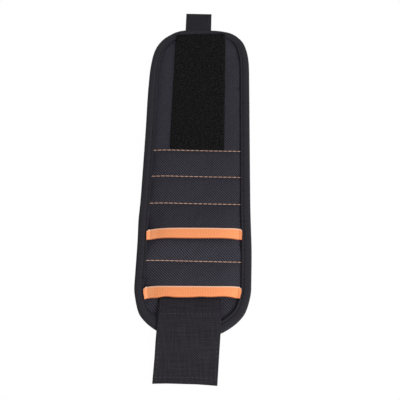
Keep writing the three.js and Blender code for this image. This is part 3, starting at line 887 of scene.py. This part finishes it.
def cut_sheet(pattern, first, last):
    """Stations that include every seam and section end, and the sheet's places as a grid."""
    marks = [first, *sorted(at for at in [*LINE_AT.values(), *MIDDLES] if first < at < last), last]
    stations = [first]
    for low, high in zip(marks, marks[1:]):
        stations += spread(low, high, CLOTH_STEP)[1:]
    grid = np.array([[(part * cloth_half(u), u, pattern(part * cloth_half(u), u)) for part in COLUMNS]
                     for u in stations])
    return stations, grid


def upper_held(x, u):
    """Where the first sheet is sewn down: its edges, seams, loop tape and pocket hem."""
    under_tape = abs(x) <= LOOP_HALF and u <= ROW_1
    return under_tape or u > UPPER_MOUTH - TRIM_HEIGHT or u in (ROW_1, ROW_2, ROW_3)


def middle_held(x, u):
    return u <= UPPER_MOUTH or u > LOWER_MOUTH - TRIM_HEIGHT or u == ROW_4


# %% Let the cloth settle
SLACK = 0.004               # how much too large the cloth is cut
SIM_SCALE = 20.0            # the solver likes cloth the size of a blanket
SIM_FRAMES = 20
MOST_MOVE = 1.0


def settle(name, grid, held):
    """The sheet's places after Blender's cloth simulation, moved by MOST_MOVE at most."""
    rows, columns = grid.shape[:2]
    scale = MM * SIM_SCALE
    mesh = bpy.data.meshes.new(name)
    quads = [(r * columns + c, r * columns + c + 1, (r + 1) * columns + c + 1, (r + 1) * columns + c)
             for r in range(rows - 1) for c in range(columns - 1)]
    mesh.from_pydata((grid.reshape(-1, 3) * scale).tolist(), [], quads)
    sheet = new_object(name, mesh)
    sewn = sheet.vertex_groups.new(name="sewn")
    at_edge = [k for k in range(rows * columns)
               if k % columns in (0, 1, columns - 2, columns - 1) or k // columns in (0, rows - 1)]
    at_seam = [k for k, (x, u, _) in enumerate(grid.reshape(-1, 3)) if held(x, u)]
    sewn.add(sorted({*at_edge, *at_seam}), 1.0, "REPLACE")
    cloth = sheet.modifiers.new("cloth", "CLOTH").settings
    cloth.vertex_group_mass = "sewn"
    cloth.shrink_min = -SLACK
    cloth.quality = 6
    cloth.mass = 0.2
    cloth.bending_stiffness = 0.6
    cloth.effector_weights.gravity = 0.0
    for number in range(1, SIM_FRAMES + 1):
        scene.frame_set(number)
    graph = bpy.context.evaluated_depsgraph_get()
    settled = bpy.data.meshes.new_from_object(sheet.evaluated_get(graph))
    places = np.array([vertex.co for vertex in settled.vertices]) / scale
    scene.frame_set(1)
    bpy.data.objects.remove(sheet)
    move = np.clip(places.reshape(grid.shape) - grid, -MOST_MOVE, MOST_MOVE)
    print(f"{name}: {rows * columns} points moved up to {np.abs(move).max():.2f} mm")
    return grid + move


# %% Sew the sheets in
PLY = 0.6
ALLOWANCE = 3.0             # how far a sheet keeps from the rim or the seam where it starts
IN_FOLD = 1.0               # how far a pocket's edge keeps from its mouth, in the elastic's fold
SHEETS = {                  # pattern, where it is sewn, first and last station, finish and lines
    "upper_cloth": (upper_sheet, upper_held, ALLOWANCE, UPPER_MOUTH - IN_FOLD, CLOTH_FINISH, LINES[:6]),
    "middle_cloth": (middle_sheet, middle_held, ROW_3 + ALLOWANCE, LOWER_MOUTH - IN_FOLD,
                     POCKET_PAINTED_LIGHTER_FINISH, LINES[6:8]),
    "lower_cloth": (lower_sheet, None, ROW_4 + ALLOWANCE, BAND_LENGTH - ALLOWANCE,
                    CLOTH_FINISH, LINES[8:]),
}
POCKETS = {"seam_3": ["pocket_upper"], "seam_4": ["pocket_lower"]}


def cloth_section(line, finish, stations, grid, is_first, is_last):
    """One section of a sheet as a closed ply, with its line in it."""
    low, high = section_span(line)
    rows = [row for u, row in zip(stations, grid) if (is_first or u >= low) and (is_last or u <= high)]
    rings = [np.concatenate([row, row[::-2] - (0, 0, PLY)]) for row in rows]
    cloth = ring_piece(f"cloth_{line}", rings, finish)
    dress(cloth, line, "ballistic_cloth", *solids("cloth", line), *POCKETS.get(line, []))


for name, (pattern, held, first, last, finish, lines) in SHEETS.items():
    stations, grid = cut_sheet(pattern, first, last)
    if held:
        grid = settle(name, grid, held)
    grid[:, :, 2] -= [[bend_marks(x, u) for x, u, _ in row] for row in grid]
    for line in lines:
        cloth_section(line, finish, stations, grid, line == lines[0], line == lines[-1])

# %% [markdown]
# ## Orange stitch rows
#
# Four rows of bright thread quilt the cloth down between the magnets. They run from binding to
# binding, in the dips that the pattern has there.

# %% Sew the orange rows
ROW_END_GAP = 1.2

for line in ("seam_1", "seam_2", "seam_3", "seam_4"):
    at = LINE_AT[line]
    pattern = middle_sheet if line == "seam_4" else upper_sheet
    reach = half_width(at, BINDING_LIP) - ROW_END_GAP
    run = [(x, at, pattern(x, at) + 0.2) for x in spread(-reach, reach, 1.0)]
    row = sew(f"orange_stitches_{line}", [run], ORANGE_THREAD, STITCH_PITCH, length=3.75, thickness=0.58)
    dress(row, line, "orange_elastic")

# %% [markdown]
# ## Padded lining
#
# The side that touches the wrist is a thin foam under a knitted mesh, quilted at the same lines. It
# lies flat on the table, so it is drawn and not simulated: pads with a rounded groove at each line.

# %% Lining finish
MESH_CELL = 2.2


def mesh_finish():
    finish = Finish("padded mesh", roughness=0.9, specular=0.1)
    inputs = {"Vector": finish.texture_place(), "Scale": TEXTURE_UNIT / MESH_CELL, "Randomness": 0.12}
    edge = finish.add("ShaderNodeTexVoronoi", inputs, feature="DISTANCE_TO_EDGE")["Distance"]
    hole = finish.math("SMOOTH_MIN", finish.times(edge, 4.0), 1.0, 0.2)
    thread = finish.math("SUBTRACT", 1.0, hole)
    finish.bump(thread, 0.5)
    shade = finish.times(thread, finish.fleck(60.0, 0.5, 1.0))
    return finish.paint(shade, (0.012, 0.012, 0.013), (0.115, 0.115, 0.125))


MESH_FINISH = mesh_finish()

# %% Quilt the lining
GROOVE, GROOVE_WIDTH = 0.7, 1.5
PAD_EDGE = 0.9
PAD_LOW, PAD_GAP = 0.05, 0.1    # room under the lining, and between it and the cloth
PAD_STEP = 0.8


def pad_height(x, u):
    """The lining's lower face: it rises into each groove and under the binding."""
    groove = GROOVE * max(bell(u - at, GROOVE_WIDTH) for at in LINE_AT.values())
    return PAD_LOW + max(groove, PAD_EDGE * (1 - flat_topped(share_across(x, u), 12)))


def lining_ring(u):
    half = cloth_half(u)
    under = [(part * half, u, pad_height(part * half, u)) for part in np.linspace(-1, 1, 41)]
    over = [(part * half, u, PAD_TOP - PAD_GAP) for part in np.linspace(1, -1, 15)]
    return under + over


for line in LINES:
    stations = spread(*section_span(line, ALLOWANCE, BAND_LENGTH - ALLOWANCE), PAD_STEP)
    lining = ring_piece(f"lining_{line}", [lining_ring(u) for u in stations], MESH_FINISH)
    dress(lining, line, "padded_mesh", *solids("lining", line))

# %% [markdown]
# ## Loop tape
#
# The dark field at the top is the soft half of a touch fastener: thousands of fine loops on a woven
# backing. The loops are small arcs scattered over the backing's upper face, each leaning its own way.

# %% Pile recipe
FACING = 0.7                    # how squarely a face has to look up or down to grow fibres
SHORTEST, LONGEST = 0.6, 1.15


def pile_recipe(name, sweep, material, seed):
    """Bent fibres on the faces that look up (Side 1) or down (Side -1), added to the piece."""
    recipe = Recipe(name, Density="Float", Radius="Float", Thickness="Float", Lean="Float", Side="Float")
    backing = recipe.inputs["Geometry"]
    normal = recipe.add("GeometryNodeInputNormal")[0]
    upward = recipe.add("ShaderNodeSeparateXYZ", {0: normal})[2]
    chosen = recipe.math("GREATER_THAN", recipe.times(upward, recipe.inputs["Side"]), FACING)
    roots = recipe.add("GeometryNodeDistributePointsOnFaces", {
        "Mesh": backing, "Selection": chosen, "Density": recipe.inputs["Density"], "Seed": seed})
    arc = recipe.add("GeometryNodeCurveArc", {
        "Resolution": 6, "Radius": recipe.inputs["Radius"], "Sweep Angle": math.radians(sweep)})["Curve"]
    standing = recipe.add("GeometryNodeTransform", {0: arc, "Rotation": (math.pi / 2, 0.0, 0.0)})[0]
    ring = recipe.add("GeometryNodeCurvePrimitiveCircle", {
        "Resolution": 3, "Radius": recipe.inputs["Thickness"]})["Curve"]
    fibre = recipe.add("GeometryNodeCurveToMesh", {0: standing, 1: ring, "Fill Caps": True})[0]
    marked = recipe.keep(fibre, "pile", 1.0, domain="FACE")
    lean = recipe.inputs["Lean"]
    back = recipe.times(lean, -1.0)
    least = recipe.add("ShaderNodeCombineXYZ", {0: back, 1: back})[0]
    most = recipe.add("ShaderNodeCombineXYZ", {0: lean, 1: lean, 2: 2 * math.pi})[0]
    turn = recipe.add("FunctionNodeRandomValue", {0: least, 1: most, "Seed": seed + 1},
                      data_type="FLOAT_VECTOR")[0]
    leaning = recipe.add("FunctionNodeRotateRotation", {0: roots["Rotation"], 1: turn},
                         rotation_space="LOCAL")[0]
    size = recipe.add("FunctionNodeRandomValue", {2: SHORTEST, 3: LONGEST, "Seed": seed + 2})[1]
    grown = recipe.add("GeometryNodeInstanceOnPoints", {
        "Points": roots["Points"], "Instance": marked, "Rotation": leaning, "Scale": size})[0]
    both = recipe.add("GeometryNodeJoinGeometry", {0: backing})[0]
    recipe.tree.links.new(grown, both.node.inputs[0])
    recipe.end(both, material, chosen=recipe.kept("pile"))
    return recipe


# %% Loop tape finish
def backing_finish():
    finish = Finish("loop backing", roughness=0.95, specular=0.05)
    clump = finish.noise(55.0, 6.0)
    finish.bump(clump, 0.6)
    return finish.paint(clump, (0.002, 0.002, 0.002), (0.009, 0.009, 0.0097))


LOOP_FINISH = backing_finish()
LOOP_PILE = pile_recipe("loop pile", 250, thread_finish("loop pile", (0.030, 0.030, 0.033)), seed=4)

# %% Lay the loop tape
LOOP_BASE, LOOP_TOP = lowest("loop_tape_2")[2] - 0.2, highest("loop_tape_2")[2]
PILE_HEIGHT = 0.9
LOOP_FIRST, LOOP_LAST = 6.0, ROW_1 - 0.9
LOOP_TUCK, LOOP_TUCK_LENGTH = 0.8, 1.5
LOOP_EDGE = 1.5             # the width of the sloping edges
LOOP_NODES = {
    "crease_1": ["loop_tape_1"], "crease_2": ["loop_tape_2"], "crease_3": ["loop_tape_3", "loop_tape_4"]}


def loop_ring(u):
    """The backing's section, thinner where it is tucked into the first seam."""
    top = LOOP_TOP - PILE_HEIGHT - LOOP_TUCK * smooth_step(u, LOOP_LAST - LOOP_TUCK_LENGTH, LOOP_LAST)
    flat = [(x, u, top) for x in spread(LOOP_EDGE - LOOP_HALF, LOOP_HALF - LOOP_EDGE, 1.5)]
    left = [(-LOOP_HALF, u, LOOP_BASE), (-LOOP_HALF, u, LOOP_BASE + 0.5),
            (-LOOP_HALF + 0.5, u, top - 0.1)]
    right = [(-x, at, z) for x, at, z in reversed(left)]
    return left + flat + right


for line, nodes in LOOP_NODES.items():
    low, high = section_span(line, first=LOOP_FIRST)
    stations = spread(low, LOOP_LAST if line == "crease_3" else high, 1.0)
    tape = ring_piece(f"loop_tape_{line}", [loop_ring(u) for u in stations], LOOP_FINISH)
    LOOP_PILE.run(tape, Density=0.9e6, Radius=0.8 * MM, Thickness=0.07 * MM, Lean=0.7, Side=1.0)
    dress(tape, line, "loop_tape", *nodes)

# %% [markdown]
# ## Orange elastic trims
#
# Each pocket's mouth is bound with a ribbed elastic, folded over the cloth and sewn at its hem. It is
# drawn across the band along the arch of the mouth and comes down on the binding at both ends. Sewing
# by hand leaves soft tucks along its two edges. The ribs are real: a tree pushes the surface in and
# out along its normals.

# %% Elastic finish
RIB_PITCH = 1.25
ELASTIC_DARK, ELASTIC_LIGHT = (0.61, 0.155, 0.050), (0.93, 0.355, 0.152)
# Painted colours for the elastic: light on the left end's slope, a highlight along the hem, and shade
# round the fold.
END_SLOPE_PAINTED_LIGHT, HEM_PAINTED_HIGHLIGHT, FOLD_PAINTED_SHADE = (1.0, 0.39, 0.175), (0.80, 0.57, 0.45), (0.40, 0.10, 0.035)


def elastic_finish():
    """Ribs and knit, with a painted highlight at the hem, painted light on the left end's slope, and
    painted shade round the fold.
    """
    finish = Finish("orange elastic", roughness=0.75)
    across, along = finish.place()
    cords = finish.times(finish.yarn(across, RIB_PITCH), 0.45)
    knit = finish.times(finish.yarn(along, 0.55), 0.3)
    height = finish.math("ADD", cords, knit)
    finish.bump(height, 0.15)
    tone = finish.times(finish.math("ADD", height, 0.18), finish.fleck(160.0, 0.3, 1.4))
    body = finish.mix(tone, ELASTIC_DARK, ELASTIC_LIGHT)
    # Where the left end slopes down to the binding, away from the lamp, the colour is painted lighter:
    # painted light against the slope's shade.
    near_end = finish.ramp(across, -27.0, -33.0, 0.8)
    before_end = finish.ramp(across, -37.5, -35.0, 1.0)
    body = finish.mix(finish.times(near_end, before_end), body, END_SLOPE_PAINTED_LIGHT)
    # Along the hem the colour is paler: a painted highlight.
    hem = finish.ramp(along, 1.3, 0.5, 0.8)
    # Round the fold, where the elastic rolls under, and on its underside the colour is darker: painted
    # shade.
    fold = finish.ramp(along, TRIM_HEIGHT - 0.7, TRIM_HEIGHT + 0.3, 0.8)
    return finish.paint(fold, finish.mix(hem, body, HEM_PAINTED_HIGHLIGHT), FOLD_PAINTED_SHADE)


def rib_recipe(material):
    recipe = Recipe("ribs", Pitch="Float", Depth="Float")
    place = recipe.add("GeometryNodeInputPosition")[0]
    across = recipe.add("ShaderNodeSeparateXYZ", {0: place})[0]
    turns = recipe.times(recipe.math("DIVIDE", across, recipe.inputs["Pitch"]), 2 * math.pi)
    height = recipe.times(recipe.math("COSINE", turns), recipe.inputs["Depth"])
    recipe.end(recipe.push(recipe.inputs["Geometry"], height), material)
    return recipe


ELASTIC_FINISH = elastic_finish()
RIBS = rib_recipe(ELASTIC_FINISH)

# %% How the trims were sewn
ELASTIC = 0.5
ELASTIC_RIB = 0.045
TRIM_OVERLAP = {"trim_upper": 0.9, "trim_lower": 1.6}    # the ends lie on the binding
TRIM_END_STACK = 0.75       # the folded elastic's height there
TRIM_SLANT = 0.022          # sewn a little out of square
CORNER_LENGTH, CORNER_ROUND = 1.8, 1.5
SCALLOP = 0.2               # how far the ribs stand out along the fold
LIP_CLIMB = 7.0             # the length in which it climbs on to the binding
LOW_GAP, LIP_GAP = 0.12, 0.1    # the least room under it, on the cloth and on the binding
PULL_POWER = 15             # how near its ends a fold is drawn in
FOLD_TUCKS = {              # where the fold is drawn up: (x, length, size)
    "trim_upper": [(-39.5, 3.0, -0.7), (-26.0, 8.0, 0.22), (0.0, 16.0, -0.27), (29.0, 8.0, 0.25),
                   (39.5, 2.5, -0.3)],
    "trim_lower": [(-39.5, 3.5, -0.6), (-32.5, 3.5, 0.5), (-20.0, 5.0, 0.8), (6.5, 5.5, 0.5),
                   (25.5, 10.0, 1.1)],
}
HEM_TUCKS = {               # and the hem
    "trim_upper": [(35.0, 8.0, 0.95)],
    "trim_lower": [(-34.0, 14.0, 0.7), (0.0, 40.0, 0.35), (36.0, 12.0, 1.0)],
}


def tucked(x, tucks):
    """How far an edge is drawn up at x by a few soft tucks."""
    return sum(size * bell(x - at, length) for at, length, size in tucks)


# %% Elastic section
def trim_section(fold):
    """The folded elastic in section as (u, height above the pocket cloth, place from its hem)."""
    hem = fold - TRIM_HEIGHT
    top = SEAM + ELASTIC
    low = -CLOTH - SEAM - ELASTIC
    middle, radius = (top + low) / 2, (top - low) / 2
    welt = [(0, -0.1), (0.2, 0.12), (0.8, 0.18), (1.4, 0)]
    outside = [(hem, 0.3)] + [(hem + along, top + above) for along, above in welt]
    outside += [(u, top + 0.06) for u in spread(hem + 2.0, fold - 2.0, 0.8)]
    outside += [(fold - 1.3, top), (fold - 1.0, top + 0.06)]
    turn = np.linspace(1.3, -1.3, 7)
    outside += [(fold - 0.9 + 0.9 * math.cos(a), middle + radius * math.sin(a)) for a in turn]
    under = [(float(u), low) for u in np.linspace(fold - 1.6, hem + 0.2, 4)]
    under += [(hem, low + 0.1), (hem, low + ELASTIC), (fold - 1.6, low + ELASTIC), (fold - 1.3, middle),
              (fold - 1.6, SEAM)]
    return [(u, z, u - hem) for u, z in outside] + [(u, z, 2 * TRIM_HEIGHT) for u, z in under]


# %% Fold the trims
def fold_trim(node, root, mouth, body, pulled_in):
    """Fold the elastic over a mouth; its fold is drawn in at the ends."""
    fold = TOP_Y - lowest(node)[1]
    section = trim_section(fold)
    heights = [above for _, above, _ in section]
    low, high = min(heights), max(heights)
    inner = half_width(mouth, BINDING_LIP)
    reach = inner + TRIM_OVERLAP[node]

    def place(x, u, above):
        near_fold = smooth_step(u, fold - TRIM_HEIGHT / 2, fold)
        near_end = smooth_step(abs(x), reach - CORNER_LENGTH, reach)
        near_hem = max(fold - TRIM_HEIGHT / 2 - u, 0.0) / (TRIM_HEIGHT / 2)
        tuck = near_fold * tucked(x, FOLD_TUCKS[node]) + (1 - near_fold) * tucked(x, HEM_TUCKS[node])
        scallop = SCALLOP * math.cos(2 * math.pi * x / RIB_PITCH) * smooth_step(u, fold - 1.0, fold)
        moved = u + CORNER_ROUND * near_end * near_hem + scallop - TRIM_SLANT * x - tuck
        on_lip = smooth_step(abs(x), inner - LIP_CLIMB, inner)
        floor = LOW_TOP + LOW_GAP + on_lip * (RIM_TOP + LIP_GAP - LOW_TOP)
        z = HIGH_TOP + pocket_rise(x, u, root, mouth) + above
        inward = pulled_in * near_fold * (x / reach) ** PULL_POWER
        return (x - inward, moved, max(z, floor + TRIM_END_STACK * (above - low) / (high - low)))

    across = spread(-reach, reach, RIB_PITCH / 5)
    rings = [[place(x, u, above) for u, above, _ in section] for x in across]
    texture = [[(x, from_hem) for _, _, from_hem in section] for x in across]
    trim = ring_piece(node + "_elastic", rings, ELASTIC_FINISH, texture)
    RIBS.run(trim, Pitch=RIB_PITCH * MM, Depth=ELASTIC_RIB * MM)
    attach(trim, body)
    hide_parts(node)
    tell(trim)


fold_trim("trim_upper", ROW_3, UPPER_MOUTH, "row_3", pulled_in=0.3)
fold_trim("trim_lower", ROW_4, LOWER_MOUTH, "row_5", pulled_in=1.1)

# %% [markdown]
# ## Strap and hook tape
#
# A wide webbing is sewn on under the lower trim, climbs over the binding and comes down to the table.
# Flat webbing keeps its thickness, so it is drawn directly: one section, lifted along a smooth path.
# It bends where it leaves the band. Under its free end sits the hook tape.

# %% Webbing finish
WEBBING_YARN = 0.9


def webbing_finish(name, light):
    finish = Finish(name, roughness=0.75, specular=0.05)
    height, warp_up = finish.weave(WEBBING_YARN, WEBBING_YARN, 2)
    finish.bump(height, 0.2)
    over = finish.math("ADD", 0.5, finish.times(warp_up, 0.5))
    streaks = finish.math("ADD", finish.streaks(1.3, 0.05), finish.streaks(0.05, 1.3))
    uneven = finish.math("POWER", streaks, 1.4)
    shine = finish.times(finish.times(height, over), uneven)
    return finish.paint(shine, (0.0024, 0.0021, 0.003), (light, 0.94 * light, 1.12 * light))


# %% The strap's path
STRAP_ROOT = TOP_Y - highest("strap_sewn_end")[1]
STRAP_END = TOP_Y - lowest("strap_free_end")[1]
STRAP_HALF = 24.1
STRAP_SHIFT = 0.9           # the strap is sewn a little to the left
STRAP_DRIFT = 2.45          # and leans further that way
STRAP_TAPER = 0.6
STRAP_CUT = 0.010           # its end is cut a little out of square
STRAP_HOLLOW = 0.75         # and a little hollow
WEBBING = 1.1
STRAP_LOW = LOW_TOP + SEAM
STRAP_ON_RIM = highest("strap_sewn_end")[2] - WEBBING
STRAP_ON_TAPE = lowest("strap_free_end")[2]
CLIMB_FROM, CLIMB_TO = BAND_LENGTH - 31, BAND_LENGTH - 15
STRAP_DROP = 14.0
TACK_AT = BAND_LENGTH - 19.5
HEM_INSET, END_INSET = 2.6, 4.5     # how far the hook tape's stitches are from the strap's edges


def down_strap(u):
    return (u - STRAP_ROOT) / (STRAP_END - STRAP_ROOT)


def strap_middle(u):
    return -STRAP_SHIFT - STRAP_DRIFT * down_strap(u)


def strap_level(u):
    """Height of the strap's lower face."""
    climb = smooth_step(u, CLIMB_FROM, CLIMB_TO) * (STRAP_ON_RIM - STRAP_LOW)
    drop = smooth_step(u, BAND_LENGTH, BAND_LENGTH + STRAP_DROP) * (STRAP_ON_RIM - STRAP_ON_TAPE)
    return STRAP_LOW + climb - drop


def strap_cut(x, u):
    """How far the strap's cut end makes a place stray along the strap."""
    hollow = STRAP_HOLLOW * ((x / STRAP_HALF) ** 2 - 0.5)
    return (STRAP_CUT * x + hollow) * smooth_step(u, STRAP_END - 20, STRAP_END)


# %% Sew the strap on
def webbing_ring(u, half, low, thick):
    """A flat section with rounded edges, standing on a height."""
    edge = [(half - 0.3, 0.05), (half, 0.3), (half, thick - 0.3), (half - 0.3, thick - 0.05)]
    over = [(x, thick) for x in np.linspace(half - 1.0, 1.0 - half, 24)]
    under = [(x, 0.0) for x in np.linspace(1.0 - half, half - 1.0, 24)]
    section = edge + over + [(-x, z) for x, z in reversed(edge)] + under
    return [(x + strap_middle(u), u + strap_cut(x, u), low + z) for x, z in section]


def fold_strap(obj):
    turn_between(obj)
    tell(obj)


def sew_strap(name, runs):
    """Rows of stitches on the strap's upper face, through places (from the middle, u)."""
    laid = [[(x + strap_middle(u), u + strap_cut(x, u), strap_level(u) + WEBBING + 0.05) for x, u in run]
            for run in runs]
    fold_strap(sew(name, laid, GREY_THREAD, pitch=3.2, length=2.6, thickness=0.42))


rings = [webbing_ring(u, STRAP_HALF - STRAP_TAPER * down_strap(u), strap_level(u), WEBBING)
         for u in spread(STRAP_ROOT, STRAP_END, 0.9)]
strap = ring_piece("strap", rings, webbing_finish("webbing", 0.044))
fold_strap(strap)
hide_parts("strap_sewn_end", "strap_free_end")
inside = STRAP_HALF - HEM_INSET
across = spread(-inside, inside, 1.0)
down = spread(BAND_LENGTH + 2, STRAP_END - END_INSET, 1.0)
sides = [[(side * inside, u) for u in down] for side in (-1, 1)]
sew_strap("strap_tack_stitches", [[(x, TACK_AT) for x in across]])
sew_strap("hook_tape_stitches", [*sides, [(x, STRAP_END - END_INSET) for x in across]])

# %% Set the hooks
HOOK_FIRST = TOP_Y - highest("hook_tape")[1]
HOOK_LAST = TOP_Y - lowest("hook_tape")[1]
HOOK_HALF = 22.0
HOOK_BACKING = 0.55
HOOK_GAP = 0.15

hook_finish = thread_finish("hook tape", (0.014, 0.014, 0.015))
rings = [webbing_ring(u, HOOK_HALF, strap_level(u) - HOOK_GAP - HOOK_BACKING, HOOK_BACKING)
         for u in spread(HOOK_FIRST, HOOK_LAST, 1.0)]
hook_tape = ring_piece("hook_tape_strip", rings, hook_finish)
pile_recipe("hooks", 230, hook_finish, seed=9).run(
    hook_tape, Density=0.38e6, Radius=0.5 * MM, Thickness=0.11 * MM, Lean=0.15, Side=-1.0)
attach(hook_tape, "strap")
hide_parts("hook_tape")
tell(hook_tape)

# %% [markdown]
# ## Pull tab
#
# A short webbing is folded double and sewn in behind the binding, pinched flat at its root and loose
# at its fold. Its section is one line round the outside and back along the inside, drawn across the
# tab's width.

# %% Fold the tab
TAB_PLY = 0.8
TAB_LOFT = 2.4
TAB_LEFT, TAB_RIGHT = lowest("pull_tab")[0], highest("pull_tab")[0]
TAB_TIP = highest("pull_tab")[1] - TOP_Y
TAB_ROOT = 0.2
TAB_PINCH = 1.05            # half the tab's height at its root, in plies
TAB_FOLD_ROOM = 1.0


def tab_outline(inset):
    """The loop's outer face as (distance from the band, height), or the face a ply inside it."""
    pinch, radius = RIM_TOP / 2, TAB_LOFT / 2
    fold = TAB_TIP - radius
    reach = spread(TAB_ROOT, fold - TAB_FOLD_ROOM, 1.2)
    opened = [smooth_step(out, TAB_ROOT, fold - TAB_FOLD_ROOM) for out in reach]
    half = [TAB_PLY * TAB_PINCH + part * (radius - TAB_PLY * TAB_PINCH) - inset for part in opened]
    middle = [pinch + part * (radius - pinch) for part in opened]
    under = [(out, level - gap) for out, level, gap in zip(reach, middle, half)]
    over = [(out, level + gap) for out, level, gap in zip(reach, middle, half)]
    turn = np.linspace(-math.pi / 2, math.pi / 2, 9)
    tip = [(fold + (radius - inset) * math.cos(a), radius + (radius - inset) * math.sin(a)) for a in turn]
    return under + tip + over[::-1]


outside, inside = tab_outline(0.0), tab_outline(TAB_PLY)
loop_section = outside + inside[::-1]
girth = [0.0]
for (out, height), (next_out, next_height) in zip(loop_section, loop_section[1:]):
    girth.append(girth[-1] + math.hypot(next_out - out, next_height - height))
widths = spread(TAB_LEFT, TAB_RIGHT, 1.0)
rings = [[(x, -out, height) for out, height in loop_section] for x in widths]
texture = [[(x, place) for place in girth] for x in widths]
# The tab's webbing is the strap's webbing painted darker: painted shade.
tab = ring_piece("pull_tab_loop", rings, webbing_finish("tab webbing", 0.040), texture)
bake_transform(tab)
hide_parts("pull_tab")
print(f"pull tab: {TAB_RIGHT - TAB_LEFT:.0f} by {TAB_TIP:.1f} mm")

# %% [markdown]
# ## Magnets
#
# The discs keep their CAD solids, because a plated disc is just that. They are hidden in the rows and
# only need a bright nickel finish with a fine grain.


# %% Nickel
def nickel_finish():
    finish = Finish("nickel plating", roughness=0.28, specular=0.5, metallic=1.0)
    grain = finish.noise(900.0, on_piece=False)
    finish.bump(grain, 0.02)
    return finish.paint(grain, (0.50, 0.50, 0.51), (0.66, 0.65, 0.63))


nickel = nickel_finish()
magnets = [node for name, node in frame["nodes"].items() if name.startswith("magnet")]
for magnet in magnets:
    magnet.data.materials.clear()
    magnet.data.materials.append(nickel)
print("magnets:", len(magnets))
